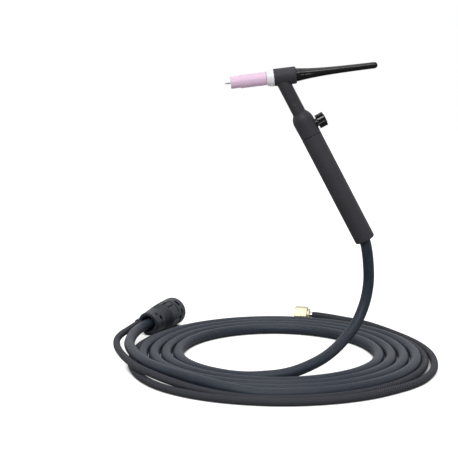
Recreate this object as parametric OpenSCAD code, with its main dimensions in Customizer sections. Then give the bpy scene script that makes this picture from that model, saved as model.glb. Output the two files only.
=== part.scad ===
// Gas-cooled TIG torch with a gas valve in its handle, a power cable with a bayonet plug,
// and a gas hose with a union nut. Sizes are in millimetres.
// The origin lies on the grip's axis, near its middle, and +Z is up. The head lies above the origin, with
// its electrode towards -X, and the cable lies coiled on the ground, ground_drop below it.

/* [Handle] */
// Lean of the handle from the upright
handle_lean = 28; // [15:1:40]
// Length of the grip
grip_len = 150.5; // [115:0.5:175]
// Distance from the origin down to the grip's lower end
grip_low = 72.5; // [50:0.5:90]
// Outer diameter of the grip
grip_d = 26.2; // [26:0.1:32]
// Wall of the grip
grip_wall = 3; // [2.6:0.1:3]
// Radius on the grip's lower edge
grip_edge_r = 2.5; // [0.5:0.1:2.5]
// Depth of the socket in the grip's upper end
socket_depth = 6.5; // [4:0.5:10]
// Wall of the grip round that socket
socket_wall = 1.5; // [1.2:0.1:1.6]

/* [Handle front] */
// How far the valve housing stands proud of the grip at its widest
front_step = 0.2; // [0:0.1:1]
// Length from the grip to where the housing's dome starts
front_straight = 21; // [20.5:0.5:28]
// Radius of the dome's outline
dome_r = 17; // [14:0.5:24]
// Wall of the dome's rim round the neck
rim_wall = 0.45; // [0.3:0.05:0.8]
// Wall of the valve housing
front_wall = 3; // [2.8:0.1:3.2]

/* [Neck] */
// Outer diameter of the neck's insulation
neck_d = 17; // [16:0.1:18]
// Distance from the grip to where the neck's axis meets the head's
neck_reach = 84; // [75:0.5:114]
// Diameter of the copper tube in the neck
neck_tube_d = 8; // [6.5:0.1:8.5]
// Wall of that tube
neck_tube_wall = 1; // [0.6:0.1:1.5]

/* [Head] */
// Rise of the head from the level, towards the back cap
head_rise = 7; // [0:1:20]
// Outer diameter of the head's insulation
head_d = 21.7; // [21:0.1:26]
// Length of the head in front of the neck's axis
head_front = 8.2; // [7.5:0.1:12]
// Length of the head behind the neck's axis
head_rear = 20; // [19:0.1:26]
// Radius on the head's rear edge
head_edge_r = 2.2; // [0.5:0.1:2.5]
// Diameter of the brass core in the head
core_d = 15; // [14.6:0.1:16]
// Thickness of the insulation behind the core
core_cover = 2.5; // [2.2:0.1:3]

/* [Cup and gasket] */
// Length of the ceramic cup
cup_len = 45.1; // [30:0.1:60]
// Diameter of the cup
cup_d = 16.5; // [16:0.1:19]
// Diameter of the cup's front
cup_tip_d = 15; // [14:0.1:15.8]
// Length of the cup's narrower front
cup_tip_len = 12.2; // [5:0.1:16]
// Bore of the cup
cup_bore_d = 11.2; // [10.8:0.1:12]
// Radius on the cup's rear edge
cup_edge_r = 1.3; // [0.3:0.1:1.5]
// Length of the cup's thread
cup_thread_len = 10; // [6:0.5:11]
// Length of the gasket between the cup and the head
gasket_len = 9.5; // [7:0.1:12]
// Diameter of the gasket at the cup
gasket_front_d = 19.2; // [18:0.1:21]
// Diameter of the gasket at the head
gasket_rear_d = 21.5; // [20:0.1:21.6]
// Radius on the gasket's front edge
gasket_edge_r = 1.6; // [0.5:0.1:2]
// Depth that the gasket's spigot goes into the head
gasket_seat = 3; // [2:0.1:4]

/* [Electrode and collet] */
// Diameter of the electrode
electrode_d = 2.4; // [1.6:0.1:2.4]
// Length of the electrode
electrode_len = 175; // [150:1:180]
// Length of the electrode's ground point
electrode_point = 4; // [2:0.5:6]
// Length of electrode that stands out of the cup
stick_out = 7.8; // [4:0.1:12]
// Outer diameter of the collet
collet_d = 4.6; // [4.2:0.1:4.8]
// Length of the slots in the collet's nose
collet_slot_len = 14; // [8:1:20]
// Diameter of the collet body's rear thread
body_thread_d = 9.4; // [9:0.1:9.6]
// Diameter of the collet body's front thread, which holds the cup
cup_thread_d = 10; // [9.6:0.1:10.2]
// Diameter of the collet body's barrel
barrel_d = 8.4; // [7.6:0.1:9]
// Length of the barrel in front of the cup's thread
barrel_len = 16; // [12:0.5:18]
// Number of gas holes round the barrel
gas_holes = 4; // [2:1:6]
// Diameter of a gas hole
gas_hole_d = 1.6; // [1:0.1:2]

/* [Back cap] */
// Length of the back cap behind the head
cap_len = 102; // [95:1:120]
// Diameter of the back cap at the head
cap_root_d = 16.7; // [16:0.1:19]
// Diameter of the back cap's tail
cap_tip_d = 7.8; // [7:0.1:10]
// Length over which the back cap's taper fades
cap_taper = 28; // [20:1:40]
// Diameter of the back cap's thread
cap_thread_d = 12; // [11.6:0.1:12.4]
// Length of the back cap's shank in the head
cap_shank_len = 11; // [9.5:0.1:11.4]
// Bore of the back cap
cap_bore_d = 3.2; // [2.8:0.1:4]
// Number of flutes round the back cap
flutes = 8; // [6:1:10]
// Diameter of the tool that cuts a flute
flute_d = 3; // [2:0.1:3.4]
// Thickness of the back cap's O-ring
cap_ring_w = 1.2; // [1:0.1:1.3]

/* [Gas valve] */
// Height of the valve above the grip's upper end
valve_height = 12; // [10:0.1:13]
// Diameter of the valve body
valve_body_d = 14; // [13.6:0.1:15]
// Diameter of the valve body's cross boss
boss_d = 11.2; // [10.8:0.1:11.6]
// Diameter of the gland nut's collar
gland_d = 10.8; // [10:0.1:12]
// Distance of the gland nut's outer face from the handle's axis
gland_reach = 14.8; // [14.4:0.1:15.4]
// Diameter of the valve spindle
spindle_d = 4; // [3.6:0.1:4.2]
// Diameter of the spindle's thread
spindle_thread_d = 5.7; // [5.2:0.1:5.8]
// Thickness of the spindle's O-ring
spindle_ring_w = 1.34; // [1.1:0.02:1.34]
// Diameter of the valve knob over its lobes
knob_d = 18.9; // [14:0.1:20]
// Length of the valve knob
knob_len = 10.4; // [8:0.1:12]
// Number of lobes round the knob
knob_lobes = 8; // [5:1:10]
// Diameter of a lobe
lobe_d = 4; // [3:0.1:4.4]
// Rise of the knob's round face past its lobes
knob_face_rise = 0.7; // [0:0.1:0.9]

/* [Cable end in the handle] */
// Length of the union nut
union_len = 18; // [16:0.5:22]
// Distance from the grip's upper end down to the union nut
union_drop = 16; // [15:0.5:19]
// Diameter of the cable's brass tail
tail_d = 8.8; // [7:0.1:9]
// Outer diameter of the crimp ferrule
ferrule_d = 16.4; // [16:0.1:17.5]
// Length of the crimp ferrule
ferrule_len = 30; // [20:1:40]
// Length of free cable inside the grip's lower end
mouth_depth = 14.5; // [14.2:0.1:14.6]

/* [Power cable] */
// Diameter of the power cable
cable_d = 14.2; // [13:0.1:14.2]
// Diameter of the power cable's copper
cable_core_d = 10.6; // [8:0.1:10.8]
// Turns of the power cable on the ground
coil_turns = 4; // [2:1:4]
// Radius of the cable's innermost turn
coil_r = 125; // [110:1:125]
// Spacing of the cable's turns
coil_pitch = 16; // [15.8:0.1:16]

/* [Gas hose] */
// Diameter of the gas hose
hose_d = 9.4; // [8:0.1:9.4]
// Bore of the gas hose
hose_bore_d = 5.6; // [4:0.1:6]
// Width across the flats of the gas nut
nut_af = 22; // [20:0.1:24]
// Length of the gas nut
nut_len = 22; // [18:0.5:25]
// Bore of the gas nut's thread
nut_bore_d = 14.95; // [14.5:0.01:15.5]
// Diameter of the gas hose's tail
gas_tail_d = 8; // [7:0.1:9]
// Length of the gas hose's tail that shows behind the nut
gas_tail_len = 4; // [2:0.5:8]

/* [Plug] */
// Length of the plug's rubber boot
boot_len = 83.5; // [77:0.5:95]
// Diameter of the boot at its widest
boot_d = 41; // [38:0.1:41]
// Diameter of the boot at the cable
boot_rear_d = 33.4; // [30:0.1:34]
// Radius on the boot's front edge
boot_edge_r = 8; // [2:0.1:9]
// Diameter of the plug's brass block
block_d = 18.8; // [17:0.1:19.4]
// Length of the plug's brass block
block_len = 38.8; // [36:0.1:40]
// Diameter of the plug's pin
pin_d = 13; // [12.6:0.1:13.2]
// Length of the plug's pin
pin_len = 17; // [14:0.5:28]
// Diameter of the shoulder behind the pin
shoulder_d = 22; // [20:0.1:24]
// Diameter of the set screws
set_screw_d = 6; // [4:0.1:6]
// Distance of the gas port from the plug's axis
port_offset = 14.5; // [14.4:0.1:15.5]
// Wall of the boot's sleeve round the gas hose
sleeve_wall = 1.5; // [1:0.1:2]

/* [Hidden] */
$fn = 64;

charcoal = [0.20, 0.20, 0.22];
cable_black = [0.23, 0.25, 0.28];
hose_black = [0.16, 0.16, 0.17];
gloss_black = [0.05, 0.05, 0.06];
pink = [0.93, 0.72, 0.83];
off_white = [0.93, 0.93, 0.93];
brass = [0.85, 0.72, 0.42];
copper = [0.80, 0.48, 0.32];
steel = [0.70, 0.70, 0.72];

// Radial clearances: a running shaft, a screwed or slipped joint, a loose fit
running = 0.05;
slip = 0.1;
loose = 0.3;
// Extra length of a cutting tool past the face that it cuts
over = 1;

// ---- Handle, in its own frame: +Z runs up the handle, +X towards the valve knob
seam_z = grip_len - grip_low;
front_d = grip_d + 2 * front_step;
front_bore_r = front_d / 2 - front_wall;
grip_bore_r = grip_d / 2 - grip_wall;
socket_r = grip_d / 2 - socket_wall;
spigot_r = socket_r - slip;
rim_r = neck_d / 2 + slip + rim_wall;
dome_drop = front_d / 2 - rim_r;
dome_z = seam_z + front_straight;
dome_len = sqrt(pow(dome_r, 2) - pow(dome_r - dome_drop, 2));
rim_len = 0.7;
front_top = dome_z + dome_len + rim_len;
neck_bottom = dome_z - 1.5;
cross_z = seam_z + neck_reach;

// Cable connection: the union nut clamps the tail against the valve body's stub
union_af = 2 * (grip_bore_r - loose) * cos(30);
union_top = seam_z - union_drop;
union_bottom = union_top - union_len;
union_floor = union_bottom + 4;
union_bore_r = 6.1;
stub_r = union_bore_r - slip;
stub_bottom = union_floor + 8;
tail_collar_r = stub_r - slip;
tail_bore_r = 2;
tail_grip = 18;
ferrule_top = union_bottom - 4;
ferrule_lip = 2;
tail_bottom = ferrule_top - ferrule_lip - tail_grip;
cable_inner_z = -grip_low + mouth_depth;

// Valve, along +X at the valve's height
valve_z = seam_z + valve_height;
valve_bottom = seam_z - 8;
valve_neck_r = 6;
// The cross boss reaches as far as the housing can slide over it
boss_reach = sqrt(pow(front_bore_r - loose, 2) - pow(boss_d / 2, 2));
valve_top = neck_bottom + 8.5;
tube_seat_z = neck_bottom - 1;
neck_tube_top = cross_z - core_d / 2 + 0.8;
gas_bore_r = 2.5;
chamber_x = 0.5;
chamber_r = spindle_thread_d / 2 + slip;
gland_thread_len = 3;
gland_thread_r = 4.5;
gland_wall = 2;
gland_chamber_r = 3.5;
ring_x = boss_reach + 0.2;
flange_r = gland_chamber_r - loose;
flange_w = 0.8;
groove_half = spindle_ring_w / 2 + 0.2;
knob_x = gland_reach + loose;
spindle_end = knob_x + knob_len - 2.2;
screw_r = 1.2;
screw_head_r = 2.6;
screw_len = 6;
valve_pitch = 0.8;

// ---- Head, in its own frame: the origin is where the axes cross, +Z towards the electrode
gasket_front = head_front + gasket_len;
cup_rear = gasket_front + slip;
cup_front = cup_rear + cup_len;
core_r = core_d / 2;
core_front = head_front - gasket_seat - slip;
core_rear = -head_rear + core_cover;
core_bore_r = body_thread_d / 2 + running;
core_wall_z = -8;
body_rear = core_wall_z + 2;
cap_bore_r = cap_thread_d / 2 + slip;
gasket_bore_r = cup_thread_d / 2 + 0.2;
barrel_front = cup_rear + cup_thread_len + barrel_len;
barrel_bore_r = collet_d / 2 + slip;
gas_groove_r = 3.9;
gas_groove = [-3.5, 3];
nose_len = 3;
collet_bore_r = electrode_d / 2 + running;
collet_front = barrel_front - nose_len;
collet_rear = -head_rear + cap_shank_len - 0.5;
collet_flange_r = 2.9;
tip_z = cup_front + stick_out;
cap_front = -head_rear + cap_shank_len;
cap_face = -head_rear - slip;
cap_end = cap_face - cap_len;
cap_band = 4;
cap_band_d = cap_root_d - 0.8;
cap_ring_z = -head_rear + 1.6;
cap_ring_r = cap_thread_d / 2 - 0.4;
flute_depth = 0.9;
flute_len = 60;
// Lean of a flute, which lets it follow the taper
flute_lean = 4;

// ---- Ground and coils
ground_drop = 230;
ground = -ground_drop;
coil_centre = [-79, 40];
// The first turn begins at this part of a turn, and still this high over the ground
coil_from = 0.05;
coil_start_lift = 0.9;
rings_per_turn = 24;
// How much further every turn reaches behind the coil's centre than before it
coil_rear_stretch = 1.03;
// Sideways gap between the hose and the cable turn that it follows
hose_gap = 0.3;
// Radius of the hose's outer turn at the front, and how much it grows towards the union nut in a turn
hose_outer_r = 212;
hose_outer_growth = 14;
hose_from = 4;
hose_to = 2.875;
// The hose moves from its inner to its outer turn between these places
hose_shift = [3.27, 3.09];

// ---- Plug, in its own frame: +Z runs from the cable to the pin, -X is up, +Y is left
plug_place = [-257.4, 162.8, -212.8];
plug_heading = 64;
plug_rise = 3;
port_angle = 0;
port_mouth = -3;
port_len = 33;
boot_mouth_r = 11;
boot_mouth_len = 8;
block_rear = 19;
block_front = block_rear + block_len;
core_depth = 27;
shoulder_front = boot_len - 1.5;
// Outline of the boot's side: how far along it, and the share of its swell there
boot_swell = [[9, 0.06], [22, 0.4], [37, 0.72], [54, 0.94]];
elbow_z = block_rear + 7;
elbow_r = 4;
elbow_half = 4;
arm_r = 2.9;
arm_seat = 6.6;
pin_shank_r = 6;
set_screw_z = [elbow_z + 5, elbow_z + 14];
set_screw_top = sqrt(pow(block_d / 2, 2) - pow(set_screw_d / 2, 2)) - slip;
pin_neck_len = 8.5;
pin_chamfer = 1.5;
lug = [9, 5, 6];
boot_grooves = [24, 28.5, 33, 57];
boot_groove_w = 1.4;
boot_groove_depth = 0.6;

// ---- Gas nut, in its own frame: +Z runs from the hose to the nut's mouth
nut_place = [-29, 252, ground + nut_af / 2];
nut_heading = 168;
nut_wall = 3.5;
nut_relief = 6.1;
nut_chamfer = 0.5;

// ---- Routes of the free stretches, in the part's frame
// Power cable from the handle's mouth to where its first turn starts
drop_route = [
    [27.25, 0, -51.25], [29.15, 0, -54.82], [32.35, 0.2, -62.2], [35.2, 1.1, -71.5],
    [38.9, 5.4, -94.7], [40.2, 10.5, -122.3], [35.5, 9.4, -148.8], [23.2, 0, -174.6],
    [3.3, -18.4, -194.3], [-18.8, -45.3, -205.3], [-41.1, -65.5, -211.7], [-60.7, -75.7, -216.4],
    [-77.9, -80.2, -219.1], [-96.5, -81.8, -220.5]
];
// Power cable from where its last turn stops, over the hose, to the plug
end_route = [
    [-93, -149, -222.9], [-109, -147.6, -222.4], [-137, -140, -219.5], [-167, -126, -216],
    [-200, -102, -213.6], [-229, -70, -213.2], [-250.6, -34, -213.2], [-265, 6, -213.2],
    [-273.4, 43, -213.2], [-274.9, 71, -213.2], [-273.6, 99, -213.2], [-269.9, 126, -213.4],
    [-263.6, 150.1, -213.5], [-257.45, 162.7, -212.8]
];
// Gas hose from the plug to where its first turn starts
lead_route = [
    [-271.8, 166.4, -213], [-275.7, 158, -213.9], [-283.9, 137, -215.4], [-290.7, 113, -215.6],
    [-293.8, 85, -215.6], [-291, 50, -215.6], [-282.4, 13, -215.6], [-271.5, -20, -215.6],
    [-258, -52, -215.6], [-239, -82, -215.7], [-214, -110, -217.5], [-184, -132.5, -220.5],
    [-150, -148.5, -223.5], [-114, -158.5, -225.1], [-92, -161.1, -225.3]
];
// Gas hose from where its last turn stops to the union nut
tail_route = [
    [78.8, -104.6, -225.3], [96.8, -83, -225.3], [117.2, -41, -225.3], [126.3, -2, -225.3],
    [128.5, 48.2, -225.3], [118.8, 101.3, -225.3], [96.4, 156.3, -225.3], [70.5, 205, -225.3],
    [59, 220.5, -225.3], [47.5, 232.3, -225.3], [35, 239.5, -224.6], [21.5, 243.3, -222.9], [8, 245.3, -221],
    [-2, 246.6, -219.8], [-10.12, 247.99, -219.08], [-14.034, 248.819, -219]
];

// ---- Frames
module on_handle() { rotate([0, -handle_lean, 0]) children(); }
module on_valve() { on_handle() translate([0, 0, valve_z]) rotate([0, 90, 0]) children(); }
module on_head() {
    on_handle() translate([0, 0, cross_z]) rotate([0, handle_lean - 90 - head_rise, 0]) children();
}
module on_plug() {
    translate(plug_place) rotate([0, 90 - plug_rise, plug_heading]) children();
}
module on_port() {
    on_plug() translate([-sin(port_angle), cos(port_angle), 0] * port_offset) children();
}
// Turns children's +Z to point from the plug's axis at the gas port
module to_port() { rotate([0, 0, 90 + port_angle]) rotate([0, 90, 0]) children(); }
module on_nut() { translate(nut_place) rotate([0, 90, nut_heading]) children(); }

// ---- Building blocks
// Points of an arc round centre c from angle a to angle b
function arc(c, r, a, b, steps = 6) = [
    for (i = [0 : steps]) c + r * [cos(a + (b - a) * i / steps), sin(a + (b - a) * i / steps)]
];
// Eases from 0 to 1 as x goes from 0 to 1
function ease(x) = let (y = min(max(x, 0), 1)) y * y * (3 - 2 * y);
function unit(v) = v / norm(v);
module rod(r, from, to) { translate([0, 0, from]) cylinder(r = r, h = to - from); }
module cone(r_from, r_to, from, to) {
    translate([0, 0, from]) cylinder(r1 = r_from, r2 = r_to, h = to - from);
}
module hexagon(af, from, to) {
    translate([0, 0, from]) rotate(30) cylinder(d = af / cos(30), h = to - from, $fn = 6);
}
module ring(r, w, z) { translate([0, 0, z]) rotate_extrude() translate([r, 0]) circle(d = w); }

// Direction of route p at its point i
function heading(p, i) = unit(p[min(i + 1, len(p) - 1)] - p[max(i - 1, 0)]);
// Side vector at point i, carried along from the last one so that the tube doesn't twist
function carried(p, i, side) = i >= len(p) ? side
    : let (d = heading(p, i)) unit(side - (side * d) * d);
// Round tube with n sides along route p
module tube(p, d, n) {
    last = len(p) - 1;
    side0 = carried(p, 0, [0.1, 1, 0.2]);
    sides = [for (i = 0, s = side0; i <= last; i = i + 1, s = carried(p, i, s)) s];
    points = [
        for (i = [0 : last], k = [0 : n - 1])
            let (s = sides[i], t = cross(heading(p, i), s))
            p[i] + d / 2 * (cos(360 * k / n) * s + sin(360 * k / n) * t)
    ];
    wall = [
        for (i = [0 : last - 1], k = [0 : n - 1])
            let (a = i * n + k, b = i * n + (k + 1) % n)
            each [[a, a + n, b], [b, a + n, b + n]]
    ];
    rear = [for (k = [1 : n - 2]) [0, k, k + 1]];
    front = [for (k = [1 : n - 2]) [last * n, last * n + k + 1, last * n + k]];
    polyhedron(points, concat(wall, rear, front), convexity = 8);
}

// ---- Coils: t counts turns, from the front towards the left, outwards. Each coil starts and
// stops with one diameter of straight tube, in line with the free stretch that it meets.
function coil_point(t, r, lift) = [
    coil_centre[0] - r * sin(360 * t),
    coil_centre[1] - r * cos(360 * t) * (cos(360 * t) < 0 ? coil_rear_stretch : 1),
    ground + lift
];
function cable_r(t) = coil_r + coil_pitch * t;
function cable_point(t) = coil_point(t, cable_r(t), cable_d / 2);
cable_start = cable_point(coil_from) + [0, 0, coil_start_lift];
cable_start_dir = unit(cable_start - drop_route[len(drop_route) - 1]);
cable_stop = cable_point(coil_turns);
cable_coil_route = concat(
    [cable_start, cable_start + cable_d * cable_start_dir],
    [for (i = [2 : rings_per_turn * coil_turns - 1]) cable_point(i / rings_per_turn)],
    [cable_stop + [cable_d, 0, 0], cable_stop]
);
function hose_inner(t) = cable_r(t) + (cable_d + hose_d) / 2 + hose_gap;
function hose_outer(t) = hose_outer_r + hose_outer_growth * (3 - t);
function hose_r(t) = let (e = ease((hose_shift[0] - t) / (hose_shift[0] - hose_shift[1])))
    hose_inner(t) * (1 - e) + hose_outer(t) * e;
function hose_point(t) = coil_point(t, hose_r(t), hose_d / 2);
hose_start = hose_point(hose_from);
hose_stop = hose_point(hose_to);
hose_stop_dir = unit(tail_route[0] - hose_stop);
hose_coil_route = concat(
    [hose_start, hose_start + [hose_d, 0, 0]],
    [for (i = [1 : rings_per_turn * (hose_from - hose_to) - 1]) hose_point(hose_from - i / rings_per_turn)],
    [hose_stop - hose_d * hose_stop_dir, hose_stop]
);
// Least gap between two tubes, measured at their centre points; far apart along one tube only
function gap(p, q, room, apart = 0) = min([
    for (i = [0 : len(p) - 1], j = [0 : len(q) - 1]) if (abs(i - j) >= apart) norm(p[i] - q[j])
]) - room;
echo(cable_to_itself = gap(cable_coil_route, cable_coil_route, cable_d, rings_per_turn / 2));
echo(hose_to_itself = gap(hose_coil_route, hose_coil_route, hose_d, rings_per_turn / 2));
echo(hose_to_cable = gap(hose_coil_route, cable_coil_route, (hose_d + cable_d) / 2));

// ---- Wear parts and head
module electrode() {
    color(steel) on_head() {
        rod(electrode_d / 2, tip_z - electrode_len, tip_z - electrode_point);
        cone(electrode_d / 2, 0.25, tip_z - electrode_point, tip_z);
    }
}
module ceramic_cup() {
    r = cup_d / 2;
    e = cup_edge_r;
    color(pink) on_head() rotate_extrude() polygon(concat(
        [[cup_thread_d / 2 + slip, cup_rear]],
        arc([r - e, cup_rear + e], e, -90, 0),
        [
            [r, cup_front - cup_tip_len], [cup_tip_d / 2, cup_front - cup_tip_len],
            [cup_tip_d / 2, cup_front], [cup_bore_d / 2, cup_front],
            [cup_bore_d / 2, cup_rear + cup_thread_len],
            [cup_thread_d / 2 + slip, cup_rear + cup_thread_len]
        ]
    ));
}
module cup_gasket() {
    e = gasket_edge_r;
    color(off_white) on_head() rotate_extrude() polygon(concat(
        [
            [gasket_bore_r, head_front - gasket_seat], [core_r, head_front - gasket_seat],
            [core_r, head_front + slip], [gasket_rear_d / 2, head_front + slip]
        ],
        arc([gasket_front_d / 2 - e, gasket_front - e], e, 0, 90),
        [[gasket_bore_r, gasket_front]]
    ));
}
module collet_body() {
    color(copper) on_head() difference() {
        rotate_extrude() polygon([
            [barrel_bore_r, body_rear], [body_thread_d / 2, body_rear],
            [body_thread_d / 2, gas_groove[0]], [gas_groove_r, gas_groove[0]],
            [gas_groove_r, gas_groove[1]], [body_thread_d / 2, gas_groove[1]],
            [body_thread_d / 2, head_front], [cup_thread_d / 2, head_front],
            [cup_thread_d / 2, cup_rear + cup_thread_len], [barrel_d / 2, cup_rear + cup_thread_len],
            [barrel_d / 2, barrel_front - 1], [barrel_d / 2 - 1, barrel_front],
            [collet_bore_r, barrel_front], [collet_bore_r, collet_front + 1.5],
            [barrel_bore_r, collet_front]
        ]);
        for (i = [0 : gas_holes - 1])
            rotate([0, 90, 360 * i / gas_holes]) translate([slip - barrel_front + barrel_len / 2, 0, 0])
                rod(gas_hole_d / 2, 0, barrel_d);
        rotate([0, 90, 0]) rod(gas_hole_d / 2, -body_thread_d, body_thread_d);
    }
}
module collet() {
    color(copper) on_head() difference() {
        union() {
            rod(collet_flange_r, collet_rear, collet_rear + 1.2);
            rod(collet_d / 2, collet_rear, collet_front - 2);
            cone(collet_d / 2, collet_d / 2 - 0.6, collet_front - 2, collet_front);
        }
        rod(collet_bore_r, collet_rear - over, collet_front + over);
        for (turn = [0, 90])
            rotate(turn) translate([-collet_d, -0.3, collet_front - collet_slot_len])
                cube([2 * collet_d, 0.6, collet_slot_len + over]);
    }
}
module head_core() {
    color(brass) difference() {
        on_head() rod(core_r - slip, core_rear, core_front);
        on_head() rod(core_bore_r, body_rear - slip, core_front + over);
        on_head() rod(barrel_bore_r + slip, core_wall_z - over, body_rear);
        on_head() rod(cap_bore_r, core_rear - over, core_wall_z);
        on_handle() rod(neck_tube_d / 2 + slip, cross_z - 2 * core_r, neck_tube_top + slip);
        on_handle() rod(neck_tube_d / 2 - neck_tube_wall, cross_z - core_r, cross_z - 3);
    }
}
module head_jacket() {
    r = head_d / 2;
    e = head_edge_r;
    color(charcoal) difference() {
        union() {
            on_head() rotate_extrude() polygon(concat(
                [[0, -head_rear]],
                arc([r - e, -head_rear + e], e, -90, 0),
                [[r, head_front], [0, head_front]]
            ));
            on_handle() rod(neck_d / 2, neck_bottom, cross_z);
        }
        on_head() rod(core_r + slip, core_rear - slip, head_front + over);
        on_head() rod(cap_thread_d / 2 + 2 * slip, -head_rear - over, core_rear);
        on_handle() rod(neck_tube_d / 2 + slip, neck_bottom - over, cross_z);
        on_handle() rod(valve_neck_r + slip, neck_bottom - over, valve_top + slip);
    }
}
module neck_tube() {
    color(copper) on_handle() difference() {
        rod(neck_tube_d / 2, tube_seat_z + slip, neck_tube_top);
        rod(neck_tube_d / 2 - neck_tube_wall, tube_seat_z, cross_z);
    }
}
// The back cap's radius, a distance s behind the head
function cap_r(s) = s < cap_band ? cap_root_d / 2 - 0.4 * s / cap_band
    : (cap_tip_d + (cap_band_d - cap_tip_d) * exp((cap_band - s) / cap_taper)) / 2;
module back_cap() {
    tip_r = cap_r(cap_len - cap_tip_d / 2);
    steps = 12;
    color(gloss_black) on_head() difference() {
        rotate_extrude() polygon(concat(
            [[0, cap_front], [cap_thread_d / 2, cap_front], [cap_thread_d / 2, cap_face], [cap_r(0), cap_face]],
            [for (i = [0 : steps]) let (s = cap_band + (cap_len - tip_r - cap_band) * pow(i / steps, 1.5))
                [cap_r(s), cap_face - s]],
            arc([0, cap_end + tip_r], tip_r, -15, -90, 5)
        ));
        rod(cap_bore_d / 2, cap_end + tip_r + 1, cap_front);
        rod(collet_flange_r + 0.2, collet_rear - loose, cap_front + over);
        difference() {
            rod(cap_thread_d, cap_ring_z - cap_ring_w / 2 - slip, cap_ring_z + cap_ring_w / 2 + slip);
            rod(cap_ring_r - cap_ring_w / 2 - running, cap_face - over, cap_front);
        }
        for (i = [0 : flutes - 1])
            rotate(360 * i / flutes)
                translate([cap_r(cap_band) + flute_d / 2 - flute_depth, 0, cap_face - cap_band])
                    rotate([0, flute_lean, 0]) rod(flute_d / 2, -flute_len, 0);
    }
}
module back_cap_oring() { color(gloss_black) on_head() ring(cap_ring_r, cap_ring_w, cap_ring_z); }

// ---- Handle
module handle_front() {
    neck_r = neck_d / 2 + slip;
    color(charcoal) difference() {
        on_handle() rotate_extrude() polygon(concat(
            [
                [spigot_r, seam_z - socket_depth + slip], [spigot_r, seam_z + slip],
                [grip_d / 2, seam_z + slip], [front_d / 2, dome_z]
            ],
            arc([front_d / 2 - dome_r, dome_z], dome_r, 0, asin(dome_len / dome_r), 8),
            [
                [rim_r, front_top], [neck_r, front_top], [neck_r, neck_bottom],
                [front_bore_r, neck_bottom], [front_bore_r, seam_z - socket_depth + slip]
            ]
        ));
        on_valve() rod(gland_d / 2 + loose, 0, front_d);
    }
}
module handle_grip() {
    r = grip_d / 2;
    e = grip_edge_r;
    color(charcoal) on_handle() rotate_extrude() polygon(concat(
        [[grip_bore_r, -grip_low]],
        arc([r - e, -grip_low + e], e, -90, 0),
        [
            [r, seam_z], [socket_r, seam_z], [socket_r, seam_z - socket_depth],
            [grip_bore_r, seam_z - socket_depth]
        ]
    ));
}

// ---- Gas valve
module valve_body() {
    color(brass) difference() {
        union() {
            on_handle() rod(stub_r, stub_bottom, valve_bottom);
            on_handle() rod(valve_body_d / 2, valve_bottom, neck_bottom - slip);
            on_handle() rod(valve_neck_r, neck_bottom - slip, valve_top);
            on_valve() rod(boss_d / 2, 0, boss_reach);
        }
        on_handle() rod(neck_tube_d / 2 + running, tube_seat_z, valve_top + over);
        on_handle() rod(gas_bore_r, stub_bottom - over, valve_z - 1);
        on_handle() translate([-2.4, 0, 0]) rod(1.5, valve_z, tube_seat_z + slip);
        on_valve() rod(1.1, -3, chamber_x + slip);
        on_valve() rod(chamber_r, chamber_x, boss_reach);
        on_valve() rod(gland_thread_r, boss_reach - gland_thread_len, boss_reach + over);
    }
}
module gland_nut() {
    color(brass) on_valve() difference() {
        union() {
            rod(gland_thread_r - slip, boss_reach - gland_thread_len + loose, boss_reach + slip);
            rod(gland_d / 2, boss_reach + slip, gland_reach);
        }
        rod(gland_chamber_r, 0, gland_reach - gland_wall);
        rod(spindle_d / 2 + slip, 0, gland_reach + over);
    }
}
module valve_spindle() {
    r = spindle_d / 2;
    t = spindle_thread_d / 2;
    color(steel) on_valve() difference() {
        rotate_extrude() polygon([
            [0, chamber_x + 0.1], [0.9, chamber_x + 0.1], [r, 1.8], [t, 1.8], [t, 5.4], [r, 5.4],
            [r, ring_x - groove_half - flange_w], [flange_r, ring_x - groove_half - flange_w],
            [flange_r, ring_x - groove_half], [r, ring_x - groove_half],
            [r, ring_x + groove_half], [flange_r, ring_x + groove_half],
            [flange_r, ring_x + groove_half + flange_w], [r, ring_x + groove_half + flange_w],
            [r, spindle_end], [0, spindle_end]
        ]);
        rod(screw_r + running, spindle_end - screw_len - slip, spindle_end + over);
    }
}
module spindle_oring() {
    color(gloss_black) on_valve()
        ring(spindle_d / 2 + running + spindle_ring_w / 2, spindle_ring_w, ring_x);
}
module valve_knob() {
    color(gloss_black) on_valve() difference() {
        union() {
            translate([0, 0, knob_x]) linear_extrude(knob_len) {
                circle(d = knob_d - lobe_d);
                for (i = [0 : knob_lobes - 1])
                    rotate(360 * (i + 0.5) / knob_lobes) translate([(knob_d - lobe_d) / 2, 0])
                        circle(d = lobe_d);
            }
            if (knob_face_rise > 0)
                rod(knob_d / 2 - lobe_d + 0.9, knob_x + knob_len / 2, knob_x + knob_len + knob_face_rise);
        }
        rod(spindle_d / 2 + running, knob_x - over, spindle_end);
        rod(screw_head_r + 0.2, spindle_end, knob_x + knob_len + over);
    }
}
module knob_screw() {
    color(steel) on_valve() difference() {
        union() {
            rod(screw_r, spindle_end - screw_len, spindle_end + slip);
            rod(screw_head_r, spindle_end + slip, spindle_end + 1.8);
        }
        translate([-screw_head_r, -0.4, spindle_end + 1]) cube([2 * screw_head_r, 0.8, over]);
    }
}

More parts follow.
